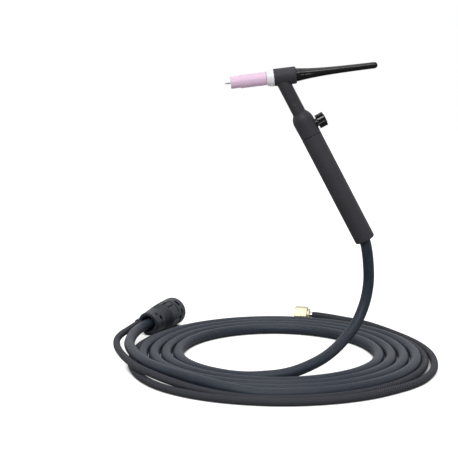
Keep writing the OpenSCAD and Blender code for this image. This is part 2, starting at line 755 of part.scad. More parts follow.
// ---- Cable connection in the handle
module cable_union_nut() {
    color(brass) on_handle() difference() {
        hexagon(union_af, union_bottom, union_top);
        rod(tail_d / 2 + 2 * slip, union_bottom - over, union_floor);
        rod(union_bore_r, union_floor, union_top + over);
    }
}
module cable_tail() {
    color(brass) on_handle() difference() {
        union() {
            rod(tail_d / 2, tail_bottom, union_floor + slip);
            rod(tail_collar_r, union_floor + slip, stub_bottom - slip);
        }
        rod(tail_bore_r, tail_bottom - over, stub_bottom);
    }
}
module cable_ferrule() {
    color(copper) on_handle() difference() {
        rod(ferrule_d / 2, ferrule_top - ferrule_len, ferrule_top);
        rod(cable_d / 2 + slip, ferrule_top - ferrule_len - over, ferrule_top - ferrule_lip);
        rod(tail_d / 2 + slip, ferrule_top - ferrule_lip - over, ferrule_top + over);
    }
}
module cable_in_handle() {
    color(cable_black) on_handle() difference() {
        rod(cable_d / 2, cable_inner_z, ferrule_top - ferrule_lip - slip);
        rod(tail_d / 2 + slip, tail_bottom - 0.5, ferrule_top);
    }
}

// ---- Free cords
module power_cable_drop() { color(cable_black) tube(concat(drop_route, [cable_start]), cable_d, 10); }
module power_cable_coil() { color(cable_black) tube(cable_coil_route, cable_d, 6); }
module power_cable_end() { color(cable_black) tube(concat([cable_stop], end_route), cable_d, 10); }
module gas_hose_lead() { color(hose_black) tube(concat(lead_route, [hose_start]), hose_d, 8); }
module gas_hose_coil() { color(hose_black) tube(hose_coil_route, hose_d, 6); }
module gas_hose_tail() { color(hose_black) tube(concat([hose_stop], tail_route), hose_d, 8); }

// ---- Plug
// The boot's radius, a distance z in front of its mouth
function boot_r(z) = (boot_rear_d + (boot_d - boot_rear_d) * lookup(z, boot_swell)) / 2;
module connector_boot() {
    r = boot_d / 2;
    rear = boot_rear_d / 2;
    e = boot_edge_r;
    color(cable_black) difference() {
        union() {
            on_plug() difference() {
                rotate_extrude() polygon(concat(
                    [[0, 0]],
                    arc([rear - 1.5, 1.5], 1.5, -90, 0),
                    [for (p = boot_swell) [boot_r(p[0]), p[0]]],
                    arc([r - e, boot_len - e], e, 0, 90),
                    [[0, boot_len]]
                ));
                for (z = boot_grooves)
                    difference() {
                        rod(boot_d, z, z + boot_groove_w);
                        rod(boot_r(z) - boot_groove_depth, z - over, z + boot_groove_w + over);
                    }
            }
            on_port() rod(hose_d / 2 + slip + sleeve_wall, port_mouth, port_len);
        }
        on_plug() cone(boot_mouth_r + (boot_mouth_r - cable_d / 2) / boot_mouth_len,
            cable_d / 2 + loose, -over, boot_mouth_len);
        on_plug() rod(cable_d / 2 + loose, 0, block_rear);
        on_plug() rod(block_d / 2 + slip, block_rear - slip, block_front + over);
        on_plug() rod(shoulder_d / 2 + slip, block_front, boot_len + over);
        on_port() rod(hose_d / 2 + slip, port_mouth - over, elbow_z + elbow_half + slip);
        on_plug() translate([0, 0, elbow_z]) to_port() rod(arm_r + slip, arm_seat, port_offset);
    }
}
module plug_pin() {
    color(brass) on_plug() {
        rod(pin_shank_r, block_front - 11, block_front);
        rod(shoulder_d / 2, block_front, shoulder_front);
        rod(pin_d / 2 - 0.3, shoulder_front, shoulder_front + pin_neck_len);
        rod(pin_d / 2, shoulder_front + pin_neck_len, shoulder_front + pin_len - pin_chamfer);
        cone(pin_d / 2, pin_d / 2 - pin_chamfer, shoulder_front + pin_len - pin_chamfer,
            shoulder_front + pin_len);
        translate([0, -lug[1] / 2, shoulder_front + 2]) cube(lug);
    }
}
module plug_block() {
    color(brass) on_plug() difference() {
        rod(block_d / 2, block_rear, block_front - slip);
        rod(cable_core_d / 2 + slip, block_rear - over, block_rear + core_depth);
        rod(pin_shank_r + slip, block_front - 11 - slip, block_front + over);
        translate([0, 0, elbow_z]) to_port() rod(arm_r + slip, arm_seat - slip, block_d);
        for (z = set_screw_z)
            translate([0, 0, z]) rotate([90, 0, 0]) rod(set_screw_d / 2 + slip, 0, block_d);
    }
}
module plug_set_screws() {
    color(steel) on_plug() for (z = set_screw_z)
        translate([0, 0, z]) rotate([90, 0, 0]) difference() {
            rod(set_screw_d / 2, cable_core_d / 2 + slip, set_screw_top);
            translate([0, 0, set_screw_top - 1.8]) cylinder(r = set_screw_d / 4, h = 3, $fn = 6);
        }
}
module cable_core() {
    color(copper) on_plug() rod(cable_core_d / 2, block_rear - slip, block_rear + core_depth - slip);
}
module cable_in_plug() { color(cable_black) on_plug() rod(cable_d / 2, 0, block_rear - slip); }
module gas_spigot() {
    bore = 1.4;
    color(brass) difference() {
        union() {
            on_port() rod(hose_bore_d / 2 - slip, port_mouth + 6, elbow_z);
            on_port() rod(elbow_r, elbow_z - elbow_half, elbow_z + elbow_half);
            on_plug() translate([0, 0, elbow_z]) to_port() rod(arm_r, arm_seat, port_offset);
        }
        on_port() rod(bore, port_mouth, elbow_z);
        on_plug() translate([0, 0, elbow_z]) to_port() rod(bore, 0, port_offset);
    }
}
module gas_hose_in_plug() {
    color(hose_black) on_port() difference() {
        rod(hose_d / 2, port_mouth, elbow_z - elbow_half - slip);
        rod(hose_bore_d / 2, port_mouth + 5.5, elbow_z);
    }
}

// ---- Gas connection
module gas_tail() {
    rear = -nut_len / 2;
    seat = rear + nut_wall + slip;
    color(steel) on_nut() difference() {
        union() {
            rod(gas_tail_d / 2, rear - gas_tail_len, seat);
            rod(nut_bore_d / 2 - 0.4, seat, seat + 2);
            cone(nut_bore_d / 2 - 1, 2.6, seat + 2, seat + 5.8);
        }
        rod(2, rear - gas_tail_len + 2, nut_len);
    }
}
module gas_nut() {
    half = nut_len / 2;
    r = nut_af / 2;
    corner = nut_af / 2 / cos(30);
    color(brass) on_nut() difference() {
        intersection() {
            hexagon(nut_af, -half, half);
            rotate_extrude() polygon([
                [0, -half], [r, -half], [corner + 0.1, -half + 1], [corner + 0.1, half - 1],
                [r, half], [0, half]
            ]);
        }
        rod(gas_tail_d / 2 + 0.25, -half - over, half);
        rod(nut_bore_d / 2 + 0.2, -half + nut_wall, -half + nut_wall + nut_relief);
        rod(nut_bore_d / 2, -half + nut_wall, half + over);
        cone(nut_bore_d / 2, nut_bore_d / 2 + 2 * nut_chamfer, half - nut_chamfer, half + nut_chamfer);
    }
}

electrode();
ceramic_cup();
cup_gasket();
collet_body();
collet();
head_core();
head_jacket();
neck_tube();
back_cap();
back_cap_oring();
handle_front();
handle_grip();
valve_body();
valve_spindle();
spindle_oring();
gland_nut();
valve_knob();
knob_screw();
cable_union_nut();
cable_tail();
cable_ferrule();
cable_in_handle();
power_cable_drop();
power_cable_coil();
power_cable_end();
connector_boot();
plug_pin();
plug_block();
plug_set_screws();
cable_core();
cable_in_plug();
gas_spigot();
gas_hose_in_plug();
gas_hose_lead();
gas_hose_coil();
gas_hose_tail();
gas_tail();
gas_nut();
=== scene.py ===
import math

import bpy
import numpy as np
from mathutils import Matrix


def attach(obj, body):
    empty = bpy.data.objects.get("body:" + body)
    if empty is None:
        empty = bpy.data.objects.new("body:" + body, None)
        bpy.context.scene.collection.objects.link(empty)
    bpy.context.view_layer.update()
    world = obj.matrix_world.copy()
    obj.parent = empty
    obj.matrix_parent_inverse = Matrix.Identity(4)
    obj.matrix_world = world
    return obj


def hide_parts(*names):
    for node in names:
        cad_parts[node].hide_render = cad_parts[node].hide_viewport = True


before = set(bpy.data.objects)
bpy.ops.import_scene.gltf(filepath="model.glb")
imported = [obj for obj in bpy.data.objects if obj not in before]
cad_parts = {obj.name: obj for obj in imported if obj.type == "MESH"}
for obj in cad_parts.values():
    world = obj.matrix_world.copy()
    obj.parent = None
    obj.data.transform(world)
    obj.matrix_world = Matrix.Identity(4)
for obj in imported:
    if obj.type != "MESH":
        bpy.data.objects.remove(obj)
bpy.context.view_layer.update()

# ---- Camera: a long lens at the height of the head, looking a little down at the coils.
CAMERA_PLACE = (-0.1405, -1.4464, 0.170)
CAMERA_PITCH = math.radians(8.64)
CAMERA_LENS = 90

camera_data = bpy.data.cameras.new("camera")
camera_data.lens = CAMERA_LENS
camera_data.sensor_width = 36
camera_data.sensor_fit = "HORIZONTAL"
camera = bpy.data.objects.new("camera", camera_data)
camera.location = CAMERA_PLACE
camera.rotation_euler = (math.pi / 2 - CAMERA_PITCH, 0, 0)
bpy.context.scene.collection.objects.link(camera)
bpy.context.scene.camera = camera

# ---- Power cable: copper strands in a thick extruded rubber jacket, wrapped in cloth while it
# cures, which leaves a fine weave print. It leaves the handle's mouth, drops to the ground,
# runs four turns outwards and ends in the plug's boot.
GROUND = -0.230
CABLE_D = 0.0142
COIL_CENTRE = (-0.079, 0.040)
COIL_R = 0.125
COIL_PITCH = 0.016
COIL_TURNS = 4
# The first turn begins at this part of a turn, and still this high over the ground
COIL_FROM = 0.05
COIL_START_LIFT = 0.0009
# How much further every turn reaches behind the coil's centre than before it
COIL_REAR_STRETCH = 1.03
# The cable's end inside the boot, as a distance from the boot's mouth
CABLE_IN_BOOT = 0.0188
PLUG_PLACE = (-0.2574, 0.1628, -0.2128)
PLUG_AXIS = (0.437770, 0.897562, 0.052336)
DROP_ROUTE = [
    (0.02725, 0, -0.05125), (0.02915, 0, -0.05482), (0.03235, 0.0002, -0.0622),
    (0.0352, 0.0011, -0.0715), (0.0389, 0.0054, -0.0947), (0.0402, 0.0105, -0.1223),
    (0.0355, 0.0094, -0.1488), (0.0232, 0, -0.1746), (0.0033, -0.0184, -0.1943),
    (-0.0188, -0.0453, -0.2053), (-0.0411, -0.0655, -0.2117), (-0.0607, -0.0757, -0.2164),
    (-0.0779, -0.0802, -0.2191), (-0.0965, -0.0818, -0.2205),
]
END_ROUTE = [
    (-0.093, -0.149, -0.2229), (-0.109, -0.1476, -0.2224), (-0.137, -0.140, -0.2195),
    (-0.167, -0.126, -0.216), (-0.200, -0.102, -0.2136), (-0.229, -0.070, -0.2132),
    (-0.2506, -0.034, -0.2132), (-0.265, 0.006, -0.2132), (-0.2734, 0.043, -0.2132),
    (-0.2749, 0.071, -0.2132), (-0.2736, 0.099, -0.2132), (-0.2699, 0.126, -0.2134),
    (-0.2636, 0.1501, -0.2135), PLUG_PLACE,
]
RINGS_PER_TURN = 24
CABLE_SIDES = 36
CABLE_STEP = 0.0028
# Faces that meet at more than this many degrees keep a sharp edge between them
SHARP_EDGE = 32


def coil_points(turns, radii, height):
    """Points of a circle round the coil's centre, drawn out along Y behind it. turns counts from
    the front, towards the left."""
    angle = 2 * np.pi * np.asarray(turns)
    x = COIL_CENTRE[0] - radii * np.sin(angle)
    stretch = np.where(np.cos(angle) < 0, COIL_REAR_STRETCH, 1)
    y = COIL_CENTRE[1] - radii * np.cos(angle) * stretch
    return np.stack([x, y, np.full_like(x, height)], axis=-1)


def smooth_route(points, step, lowest):
    """A centripetal Catmull-Rom curve through the points, with a point every step: lines between
    neighbours, blended twice by how far along the curve is. It is kept above lowest."""
    p = np.asarray(points, float)
    p = np.vstack([2 * p[0] - p[1], p, 2 * p[-1] - p[-2]])
    a, b, c, d = p[:-3], p[1:-2], p[2:-1], p[3:]
    t1 = np.linalg.norm(b - a, axis=1) ** 0.5
    t2 = t1 + np.linalg.norm(c - b, axis=1) ** 0.5
    t3 = t2 + np.linalg.norm(d - c, axis=1) ** 0.5
    t1, t2, t3 = (t[:, None, None] for t in (t1, t2, t3))
    a, b, c, d = (q[:, None, :] for q in (a, b, c, d))
    share = np.linspace(0, 1, 24, endpoint=False)[None, :, None]
    t = t1 + (t2 - t1) * share
    ab = (t1 - t) / t1 * a + t / t1 * b
    bc = (t2 - t) / (t2 - t1) * b + (t - t1) / (t2 - t1) * c
    cd = (t3 - t) / (t3 - t2) * c + (t - t2) / (t3 - t2) * d
    abc = (t2 - t) / t2 * ab + t / t2 * bc
    bcd = (t3 - t) / (t3 - t1) * bc + (t - t1) / (t3 - t1) * cd
    curve = ((t2 - t) / (t2 - t1) * abc + (t - t1) / (t2 - t1) * bcd).reshape(-1, 3)
    curve = np.vstack([curve, p[-2]])
    along = np.concatenate([[0], np.cumsum(np.linalg.norm(np.diff(curve, axis=0), axis=1))])
    places = np.linspace(0, along[-1], int(along[-1] / step) + 1)
    curve = np.stack([np.interp(places, along, curve[:, k]) for k in range(3)], axis=-1)
    curve[:, 2] = np.maximum(curve[:, 2], lowest)
    return curve


def surface(name, grid, wrap_rows=False, ends=(), uv=None, sharp=SHARP_EDGE):
    """A mesh over a grid of points (rows, columns, 3) whose columns close on themselves. The rows
    close too, or the rows named in ends, first (0) and last (-1), are closed with a fan of
    triangles. uv is a grid with one more column than the points. Where the volume under the faces
    comes out negative, they are turned to point outwards."""
    rows, columns = grid.shape[:2]
    vertices = grid.reshape(-1, 3)
    first_rows = np.arange(rows if wrap_rows else rows - 1)
    i, j = np.meshgrid(first_rows, np.arange(columns), indexing="ij")
    next_i, next_j = (i + 1) % rows, (j + 1) % columns
    quads = np.stack([i * columns + j, i * columns + next_j,
                      next_i * columns + next_j, next_i * columns + j], -1)
    corners = [quads.reshape(-1)]
    sizes = [np.full(quads.size // 4, 4)]
    for end in ends:
        ring = (0 if end == 0 else rows - 1) * columns + np.arange(columns)
        centre = len(vertices)
        vertices = np.vstack([vertices, grid[end].mean(axis=0)])
        pair = (np.roll(ring, -1), ring) if end == 0 else (ring, np.roll(ring, -1))
        corners.append(np.stack([pair[0], pair[1], np.full(columns, centre)], -1).reshape(-1))
        sizes.append(np.full(columns, 3))
    corners, sizes = np.concatenate(corners), np.concatenate(sizes)
    starts = np.concatenate([[0], np.cumsum(sizes)[:-1]])
    first, second, third = (vertices[corners[starts + k]] for k in range(3))
    volume = np.einsum("ij,ij->", first, np.cross(second, third))
    fourth = vertices[corners[(starts + 3)[sizes == 4]]]
    volume += np.einsum("ij,ij->", first[sizes == 4], np.cross(third[sizes == 4], fourth))
    mesh = bpy.data.meshes.new(name)
    mesh.vertices.add(len(vertices))
    mesh.vertices.foreach_set("co", vertices.astype(np.float32).ravel())
    mesh.loops.add(len(corners))
    mesh.loops.foreach_set("vertex_index", corners.astype(np.int32))
    mesh.polygons.add(len(sizes))
    mesh.polygons.foreach_set("loop_start", starts.astype(np.int32))
    mesh.polygons.foreach_set("loop_total", sizes.astype(np.int32))
    if uv is not None:
        here = np.stack([uv[i, j], uv[i, j + 1], uv[i + 1, j + 1], uv[i + 1, j]], axis=-2)
        places = np.zeros((len(corners), 2), np.float32)
        places[:quads.size] = here.reshape(-1, 2)
        mesh.uv_layers.new(name="along").data.foreach_set("uv", places.ravel())
    mesh.update(calc_edges=True)
    mesh.validate()
    if volume < 0:
        mesh.flip_normals()
    mesh.polygons.foreach_set("use_smooth", np.ones(len(mesh.polygons), bool))
    mesh.set_sharp_from_angle(angle=math.radians(sharp))
    piece = bpy.data.objects.new(name, mesh)
    bpy.context.scene.collection.objects.link(piece)
    return piece


def cord_tube(name, path, diameter, sides):
    """A round tube along the path. Its sections are turned by the direction away from the coil's
    centre, which no stretch follows. Its own map holds metres round the tube and along it."""
    tangent = np.gradient(path, axis=0)
    tangent /= np.linalg.norm(tangent, axis=1, keepdims=True)
    outward = path - (*COIL_CENTRE, 0)
    outward[:, 2] = 0
    outward -= np.sum(outward * tangent, axis=1, keepdims=True) * tangent
    outward /= np.linalg.norm(outward, axis=1, keepdims=True)
    across = np.cross(tangent, outward)
    angle = 2 * np.pi * np.arange(sides)[:, None] / sides
    spoke = np.cos(angle) * outward[:, None] + np.sin(angle) * across[:, None]
    grid = path[:, None] + diameter / 2 * spoke
    along = np.concatenate([[0], np.cumsum(np.linalg.norm(np.diff(path, axis=0), axis=1))])
    round_tube = np.linspace(0, np.pi * diameter, sides + 1)
    uv = np.stack(np.meshgrid(along, round_tube, indexing="ij")[::-1], axis=-1)
    return surface(name, grid, ends=(0, -1), uv=uv)


def colour(red, green, blue):
    """A linear colour from display values of 0 to 255."""
    share = np.array([red, green, blue]) / 255
    linear = np.where(share <= 0.04045, share / 12.92, ((share + 0.055) / 1.055) ** 2.4)
    return (*linear.tolist(), 1.0)


def adder(tree):
    """The function that adds nodes to a tree."""

    def add(kind, sockets=None, **choices):
        """A node with its choices made and its sockets set, or linked where a socket is given."""
        node = tree.nodes.new("ShaderNode" + kind)
        for choice, value in choices.items():
            setattr(node, choice, value)
        for socket, value in (sockets or {}).items():
            if isinstance(value, bpy.types.NodeSocket):
                tree.links.new(value, node.inputs[socket])
            else:
                node.inputs[socket].default_value = value
        return node

    return add


def finish(name, **settings):
    """A new material, the function that adds nodes to it, and one that feeds its surface shader.
    The settings are constant values of the shader's own sockets."""
    material = bpy.data.materials.new(name)
    material.use_nodes = True
    tree = material.node_tree
    shader = tree.nodes["Principled BSDF"]
    for socket, value in settings.items():
        shader.inputs[socket.replace("_", " ")].default_value = value

    def feed(socket, value):
        """Links a node's output to one of the shader's sockets."""
        tree.links.new(value, shader.inputs[socket])

    return material, adder(tree), feed


def noise(add, place, scale, detail, roughness=0.5):
    """Fractal noise over the place, about 0 to 1."""
    sockets = {"Vector": place, "Scale": scale, "Detail": detail, "Roughness": roughness}
    return add("TexNoise", sockets).outputs["Fac"]


def between(add, value, low, high):
    """The value's range of 0 to 1 carried in a straight line to low to high."""
    return add("MapRange", {"Value": value, "To Min": low, "To Max": high}).outputs["Result"]


def product(add, one, other):
    """One value times the other."""
    return add("Math", {0: one, 1: other}, operation="MULTIPLY").outputs["Value"]


def relief(add, height, strength, distance):
    """The surface's direction as if the height, 0 to 1, stood out by the distance in metres."""
    sockets = {"Height": height, "Strength": strength, "Distance": distance}
    return add("Bump", sockets).outputs["Normal"]


def tinted(add, factor, dark, light):
    """A colour between dark and light, as the factor says."""
    mix = add("Mix", {0: factor, 6: dark, 7: light}, data_type="RGBA")
    return mix.outputs[2]


def crossed_bands(add, place, degrees, scale, operation, **wave_sockets):
    """Two sets of sine bands over a map in metres, turned by the angle to either side and put
    together by the operation. They lie 0.98 / scale metres apart."""
    bands = []
    for turn in (math.radians(degrees), math.radians(-degrees)):
        across = add("Mapping", {"Vector": place, "Rotation": (0, 0, turn),
                                 "Scale": (scale, scale, 1)}).outputs["Vector"]
        wave = add("TexWave", {"Vector": across, "Scale": 0.32, **wave_sockets},
                   wave_type="BANDS", bands_direction="X")
        bands.append(wave.outputs["Fac"])
    return add("Math", {0: bands[0], 1: bands[1]}, operation=operation).outputs["Value"]


def cable_rubber():
    """Slate rubber with the print of a plain cloth: two crossed sets of fine ridges, 0.9 mm apart,
    worn and dusty in soft patches."""
    material, add, feed = finish("cable_rubber", Specular_IOR_Level=0.22)
    place = add("UVMap", uv_map="along").outputs["UV"]
    weave = crossed_bands(add, place, 38, 1100, "MAXIMUM", Distortion=0.6, Detail=1.0)
    dust_place = add("Mapping", {"Vector": place, "Scale": (160, 60, 1)}).outputs["Vector"]
    dust = noise(add, dust_place, 1.0, 5.0, 0.6)
    shade = product(add, weave, dust)
    feed("Base Color", tinted(add, shade, colour(22, 27, 35), colour(58, 66, 80)))
    feed("Roughness", between(add, dust, 0.38, 0.56))
    feed("Normal", relief(add, weave, 0.55, 0.00012))
    return material


def repaint(node, material):
    """Gives a CAD node this material alone."""
    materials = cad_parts[node].data.materials
    materials.clear()
    materials.append(material)


coil_turns = np.arange(2, RINGS_PER_TURN * COIL_TURNS) / RINGS_PER_TURN
coil_height = GROUND + CABLE_D / 2
cable_start = coil_points(
    [COIL_FROM], COIL_R + COIL_PITCH * COIL_FROM, coil_height + COIL_START_LIFT)
cable_stop = coil_points([COIL_TURNS], COIL_R + COIL_PITCH * COIL_TURNS, coil_height)
cable_boot_end = np.array(PLUG_PLACE) + CABLE_IN_BOOT * np.array(PLUG_AXIS)
cable_path = smooth_route(
    np.vstack([
        DROP_ROUTE, cable_start,
        coil_points(coil_turns, COIL_R + COIL_PITCH * coil_turns, coil_height),
        cable_stop, END_ROUTE, cable_boot_end,
    ]), CABLE_STEP, coil_height)
power_cable = cord_tube("power_cable", cable_path, CABLE_D, CABLE_SIDES)
rubber = cable_rubber()
power_cable.data.materials.append(rubber)
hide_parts("power_cable_drop", "power_cable_coil", "power_cable_end",
            "cable_in_plug")
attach(power_cable, "torch")
repaint("cable_in_handle", rubber)

# ---- Gas hose: a soft rubber hose under an open textile braid. It leaves the boot's collar,
# follows the cable, lies a turn round the coil and ends on the barbed tail in its nut.
HOSE_D = 0.0094
HOSE_GAP = 0.0003
HOSE_OUTER_R = 0.212
HOSE_OUTER_GROWTH = 0.014
HOSE_FROM = 4
HOSE_TO = 2.875
# The hose moves from its inner to its outer turn between these places
HOSE_SHIFT = (3.27, 3.09)
HOSE_SIDES = 28
HOSE_STEP = 0.0024
LEAD_ROUTE = [
    (-0.2718, 0.1664, -0.213), (-0.2757, 0.158, -0.2139), (-0.2839, 0.137, -0.2154),
    (-0.2907, 0.113, -0.2156), (-0.2938, 0.085, -0.2156), (-0.291, 0.050, -0.2156),
    (-0.2824, 0.013, -0.2156), (-0.2715, -0.020, -0.2156), (-0.258, -0.052, -0.2156),
    (-0.239, -0.082, -0.2157), (-0.214, -0.110, -0.2175), (-0.184, -0.1325, -0.2205),
    (-0.150, -0.1485, -0.2235), (-0.114, -0.1585, -0.2251), (-0.092, -0.1611, -0.2253),
]
TAIL_ROUTE = [
    (0.0788, -0.1046, -0.2253), (0.0968, -0.083, -0.2253), (0.1172, -0.041, -0.2253),
    (0.1263, -0.002, -0.2253), (0.1285, 0.0482, -0.2253), (0.1188, 0.1013, -0.2253),
    (0.0964, 0.1563, -0.2253), (0.0705, 0.205, -0.2253), (0.059, 0.2205, -0.2253),
    (0.0475, 0.2323, -0.2253), (0.035, 0.2395, -0.2246), (0.0215, 0.2433, -0.2229),
    (0.008, 0.2453, -0.221), (-0.002, 0.2466, -0.2198), (-0.01012, 0.24799, -0.21908),
    (-0.014034, 0.248819, -0.219),
]


def ease(x):
    """Three times the square of x less twice its cube, with x held between 0 and 1."""
    y = np.clip(x, 0, 1)
    return y * y * (3 - 2 * y)


def hose_radius(turns):
    """The hose follows the cable's next turn, then eases out to a wider turn that slowly grows."""
    inner = COIL_R + COIL_PITCH * turns + (CABLE_D + HOSE_D) / 2 + HOSE_GAP
    outer = HOSE_OUTER_R + HOSE_OUTER_GROWTH * (3 - turns)
    share = ease((HOSE_SHIFT[0] - turns) / (HOSE_SHIFT[0] - HOSE_SHIFT[1]))
    return inner * (1 - share) + outer * share


def hose_braid():
    """Black textile braid: crossed bundles of yarn, 2.5 mm apart, with dark gaps between them and
    a few paler threads."""
    material, add, feed = finish("hose_braid", Specular_IOR_Level=0.15)
    place = add("UVMap", uv_map="along").outputs["UV"]
    yarn = crossed_bands(add, place, 55, 400, "MULTIPLY", Distortion=0.4)
    fleck_place = add("Mapping", {"Vector": place, "Scale": (700, 300, 1)}).outputs["Vector"]
    fleck = noise(add, fleck_place, 1.0, 3.0)
    shade = product(add, yarn, fleck)
    feed("Base Color", tinted(add, shade, colour(28, 28, 33), colour(128, 131, 142)))
    feed("Roughness", between(add, fleck, 0.55, 0.85))
    feed("Normal", relief(add, yarn, 0.8, 0.00025))
    return material


hose_rings = np.arange(1, int(RINGS_PER_TURN * (HOSE_FROM - HOSE_TO)))
hose_turns = HOSE_FROM - hose_rings / RINGS_PER_TURN
hose_height = GROUND + HOSE_D / 2
hose_ends = np.array([HOSE_FROM, HOSE_TO])
hose_start, hose_stop = coil_points(hose_ends, hose_radius(hose_ends), hose_height)
hose_path = smooth_route(
    np.vstack([
        LEAD_ROUTE, hose_start, coil_points(hose_turns, hose_radius(hose_turns), hose_height),
        hose_stop, TAIL_ROUTE,
    ]), HOSE_STEP, hose_height)
gas_hose = cord_tube("gas_hose", hose_path, HOSE_D, HOSE_SIDES)
braid = hose_braid()
gas_hose.data.materials.append(braid)
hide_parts("gas_hose_lead", "gas_hose_coil", "gas_hose_tail")
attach(gas_hose, "torch")

# ---- Plug boot: one soft black rubber moulding, pulled over the plug's brass block. It has a
# rolled lip round the cable, fine rings and raised pads for the fingers, and a big round end.
MM = 0.001
BOOT_LEN = 83.5
BOOT_R = 20.5
BOOT_REAR_R = 16.7
BOOT_EDGE_R = 8.6
BOOT_LIP_R = 2.2
BOOT_FLARE_R = 11.0
BOOT_FLARE_LEN = 8.0
BOOT_BORE_R = 7.4
# How much of its whole swell the boot has reached, at these distances from its lip
BOOT_SWELL = ((21, 0.36), (29, 0.55), (37, 0.72), (45, 0.85), (54, 0.94))
BOOT_SIDES = 280
# A point this close under the rear radius, or past it, is on the boot's outside
BOOT_SKIN = 0.6
BLOCK_REAR = 19.0
BLOCK_FRONT = 57.8
BLOCK_BORE_R = 9.5
SHOULDER_BORE_R = 11.1
# Rings: where the band of them starts and ends, their spacing and depth
BOOT_RINGS = (21.0, 41.0, 2.3, 0.7)
# Pads stand in a hollow as deep as they are high. For each: its middle along the boot and round it
# in degrees, its half length and half width in millimetres, and how deep the hollow round it is
BOOT_PADS = ((42.0, 178, 5.5, 2.5, 0.9), (47.5, 204, 6.0, 3.6, 1.0), (51.5, 294, 9.0, 4.8, 1.0),
             (44.0, 60, 8.0, 4.0, 0.9), (47.0, 110, 6.0, 3.4, 0.9))
# Grooves: part of a ring, at this place along the boot, its half length, where it starts and ends
# round the boot in degrees, and its depth
BOOT_GROOVES = ((58.0, 0.9, 186, 256, 1.5), (63.5, 1.3, 272, 330, 2.0), (58.0, 0.9, 20, 120, 1.5))
# Vents: slots at this place along the boot and round it, half length, half width and depth
BOOT_VENTS = ((9.0, 215, 1.5, 2.6, 2.4), (13.0, 241, 1.8, 3.2, 2.4), (66.0, 218, 1.8, 4.6, 2.6),
              (67.5, 258, 1.4, 3.0, 1.8), (12.0, 90, 1.8, 3.2, 2.4), (66.0, 60, 1.8, 4.6, 2.6))
PORT_OFFSET = 14.5
PORT_MOUTH = -3.0
PORT_LEN = 33.0
COLLAR_BORE_R = 4.8
COLLAR_R = 6.3
COLLAR_END = 3.2


def axes(origin, up, side):
    """A frame: origin in metres, its +Z direction and a direction near its +X."""
    z = np.array(up, float) / np.linalg.norm(up)
    x = np.array(side, float) - np.dot(side, z) * z
    x /= np.linalg.norm(x)
    return np.array(origin, float), np.stack([x, np.cross(z, x), z])


def placed(points, where):
    """Points in millimetres in a frame, as metres in the part's frame."""
    origin, directions = where
    return origin + MM * points @ directions


def arc(centre, radius, start, end, steps=8):
    """Points of an arc round a centre, from one angle to another in degrees."""
    angle = np.radians(np.linspace(start, end, steps + 1))
    x, y = centre
    return np.stack([x + radius * np.cos(angle), y + radius * np.sin(angle)], axis=-1)


def outline(*stretches):
    """One outline from single points (radius, height) and whole stretches of them."""
    return np.vstack([np.atleast_2d(np.asarray(s, float)) for s in stretches])


def dense(points, step, closed=True):
    """The outline with more points, so that none is more than a step from the next."""
    following = np.roll(points, -1, axis=0) if closed else points[1:]
    starts = points if closed else points[:-1]
    counts = np.maximum(1, np.ceil(np.linalg.norm(following - starts, axis=1) / step).astype(int))
    share = np.concatenate([np.arange(n) / n for n in counts])[:, None]
    before, after = np.repeat(starts, counts, axis=0), np.repeat(following, counts, axis=0)
    spread = before * (1 - share) + after * share
    return spread if closed else np.vstack([spread, points[-1]])


def turned(name, profile, where, sides, shape=None, closed=True, ends=(), sharp=SHARP_EDGE):
    """An outline (radius, height) carried round the frame's +Z. shape(angle, radius, height) gives
    the radius at each point where the piece isn't round."""
    angle = 2 * np.pi * np.arange(sides)[None, :] / sides
    radius, height = profile[:, :1] + 0 * angle, profile[:, 1:] + 0 * angle
    if shape:
        radius = shape(angle, radius, height)
    grid = np.stack([radius * np.cos(angle), radius * np.sin(angle), height], axis=-1)
    return surface(name, placed(grid, where), wrap_rows=closed, ends=ends, sharp=sharp)


def band(x, start, end, soft):
    """1 between start and end and 0 outside, with soft steps."""
    return ease((x - start) / soft + 0.5) * ease((end - x) / soft + 0.5)


def boot_outline():
    """The boot's half section: outside from the lip to the front, then its stepped bore."""
    swell = BOOT_R - BOOT_REAR_R
    swollen = [(BOOT_REAR_R + share * swell, height) for height, share in BOOT_SWELL]
    side = dense(outline((BOOT_REAR_R + 0.24, 12), swollen, (BOOT_R, 70)), 0.5, closed=False)
    return outline(
        (BOOT_FLARE_R, 0.9),
        arc((BOOT_FLARE_R + 1.2, 1.0), 1.0, 180, 270),
        arc((BOOT_REAR_R - BOOT_LIP_R, BOOT_LIP_R), BOOT_LIP_R, 270, 360),
        dense(outline((BOOT_REAR_R, BOOT_LIP_R + 0.4), (BOOT_REAR_R + 0.2, 11.5)),
              0.5, closed=False),
        side,
        arc((BOOT_R - BOOT_EDGE_R, BOOT_LEN - BOOT_EDGE_R), BOOT_EDGE_R, 0, 90, 14),
        arc((SHOULDER_BORE_R + 1, BOOT_LEN - 1), 1, 90, 180),
        (SHOULDER_BORE_R, BLOCK_FRONT), (BLOCK_BORE_R, BLOCK_FRONT),
        (BLOCK_BORE_R, BLOCK_REAR - 0.1), (BOOT_BORE_R, BLOCK_REAR - 0.1),
        (BOOT_BORE_R, BOOT_FLARE_LEN))


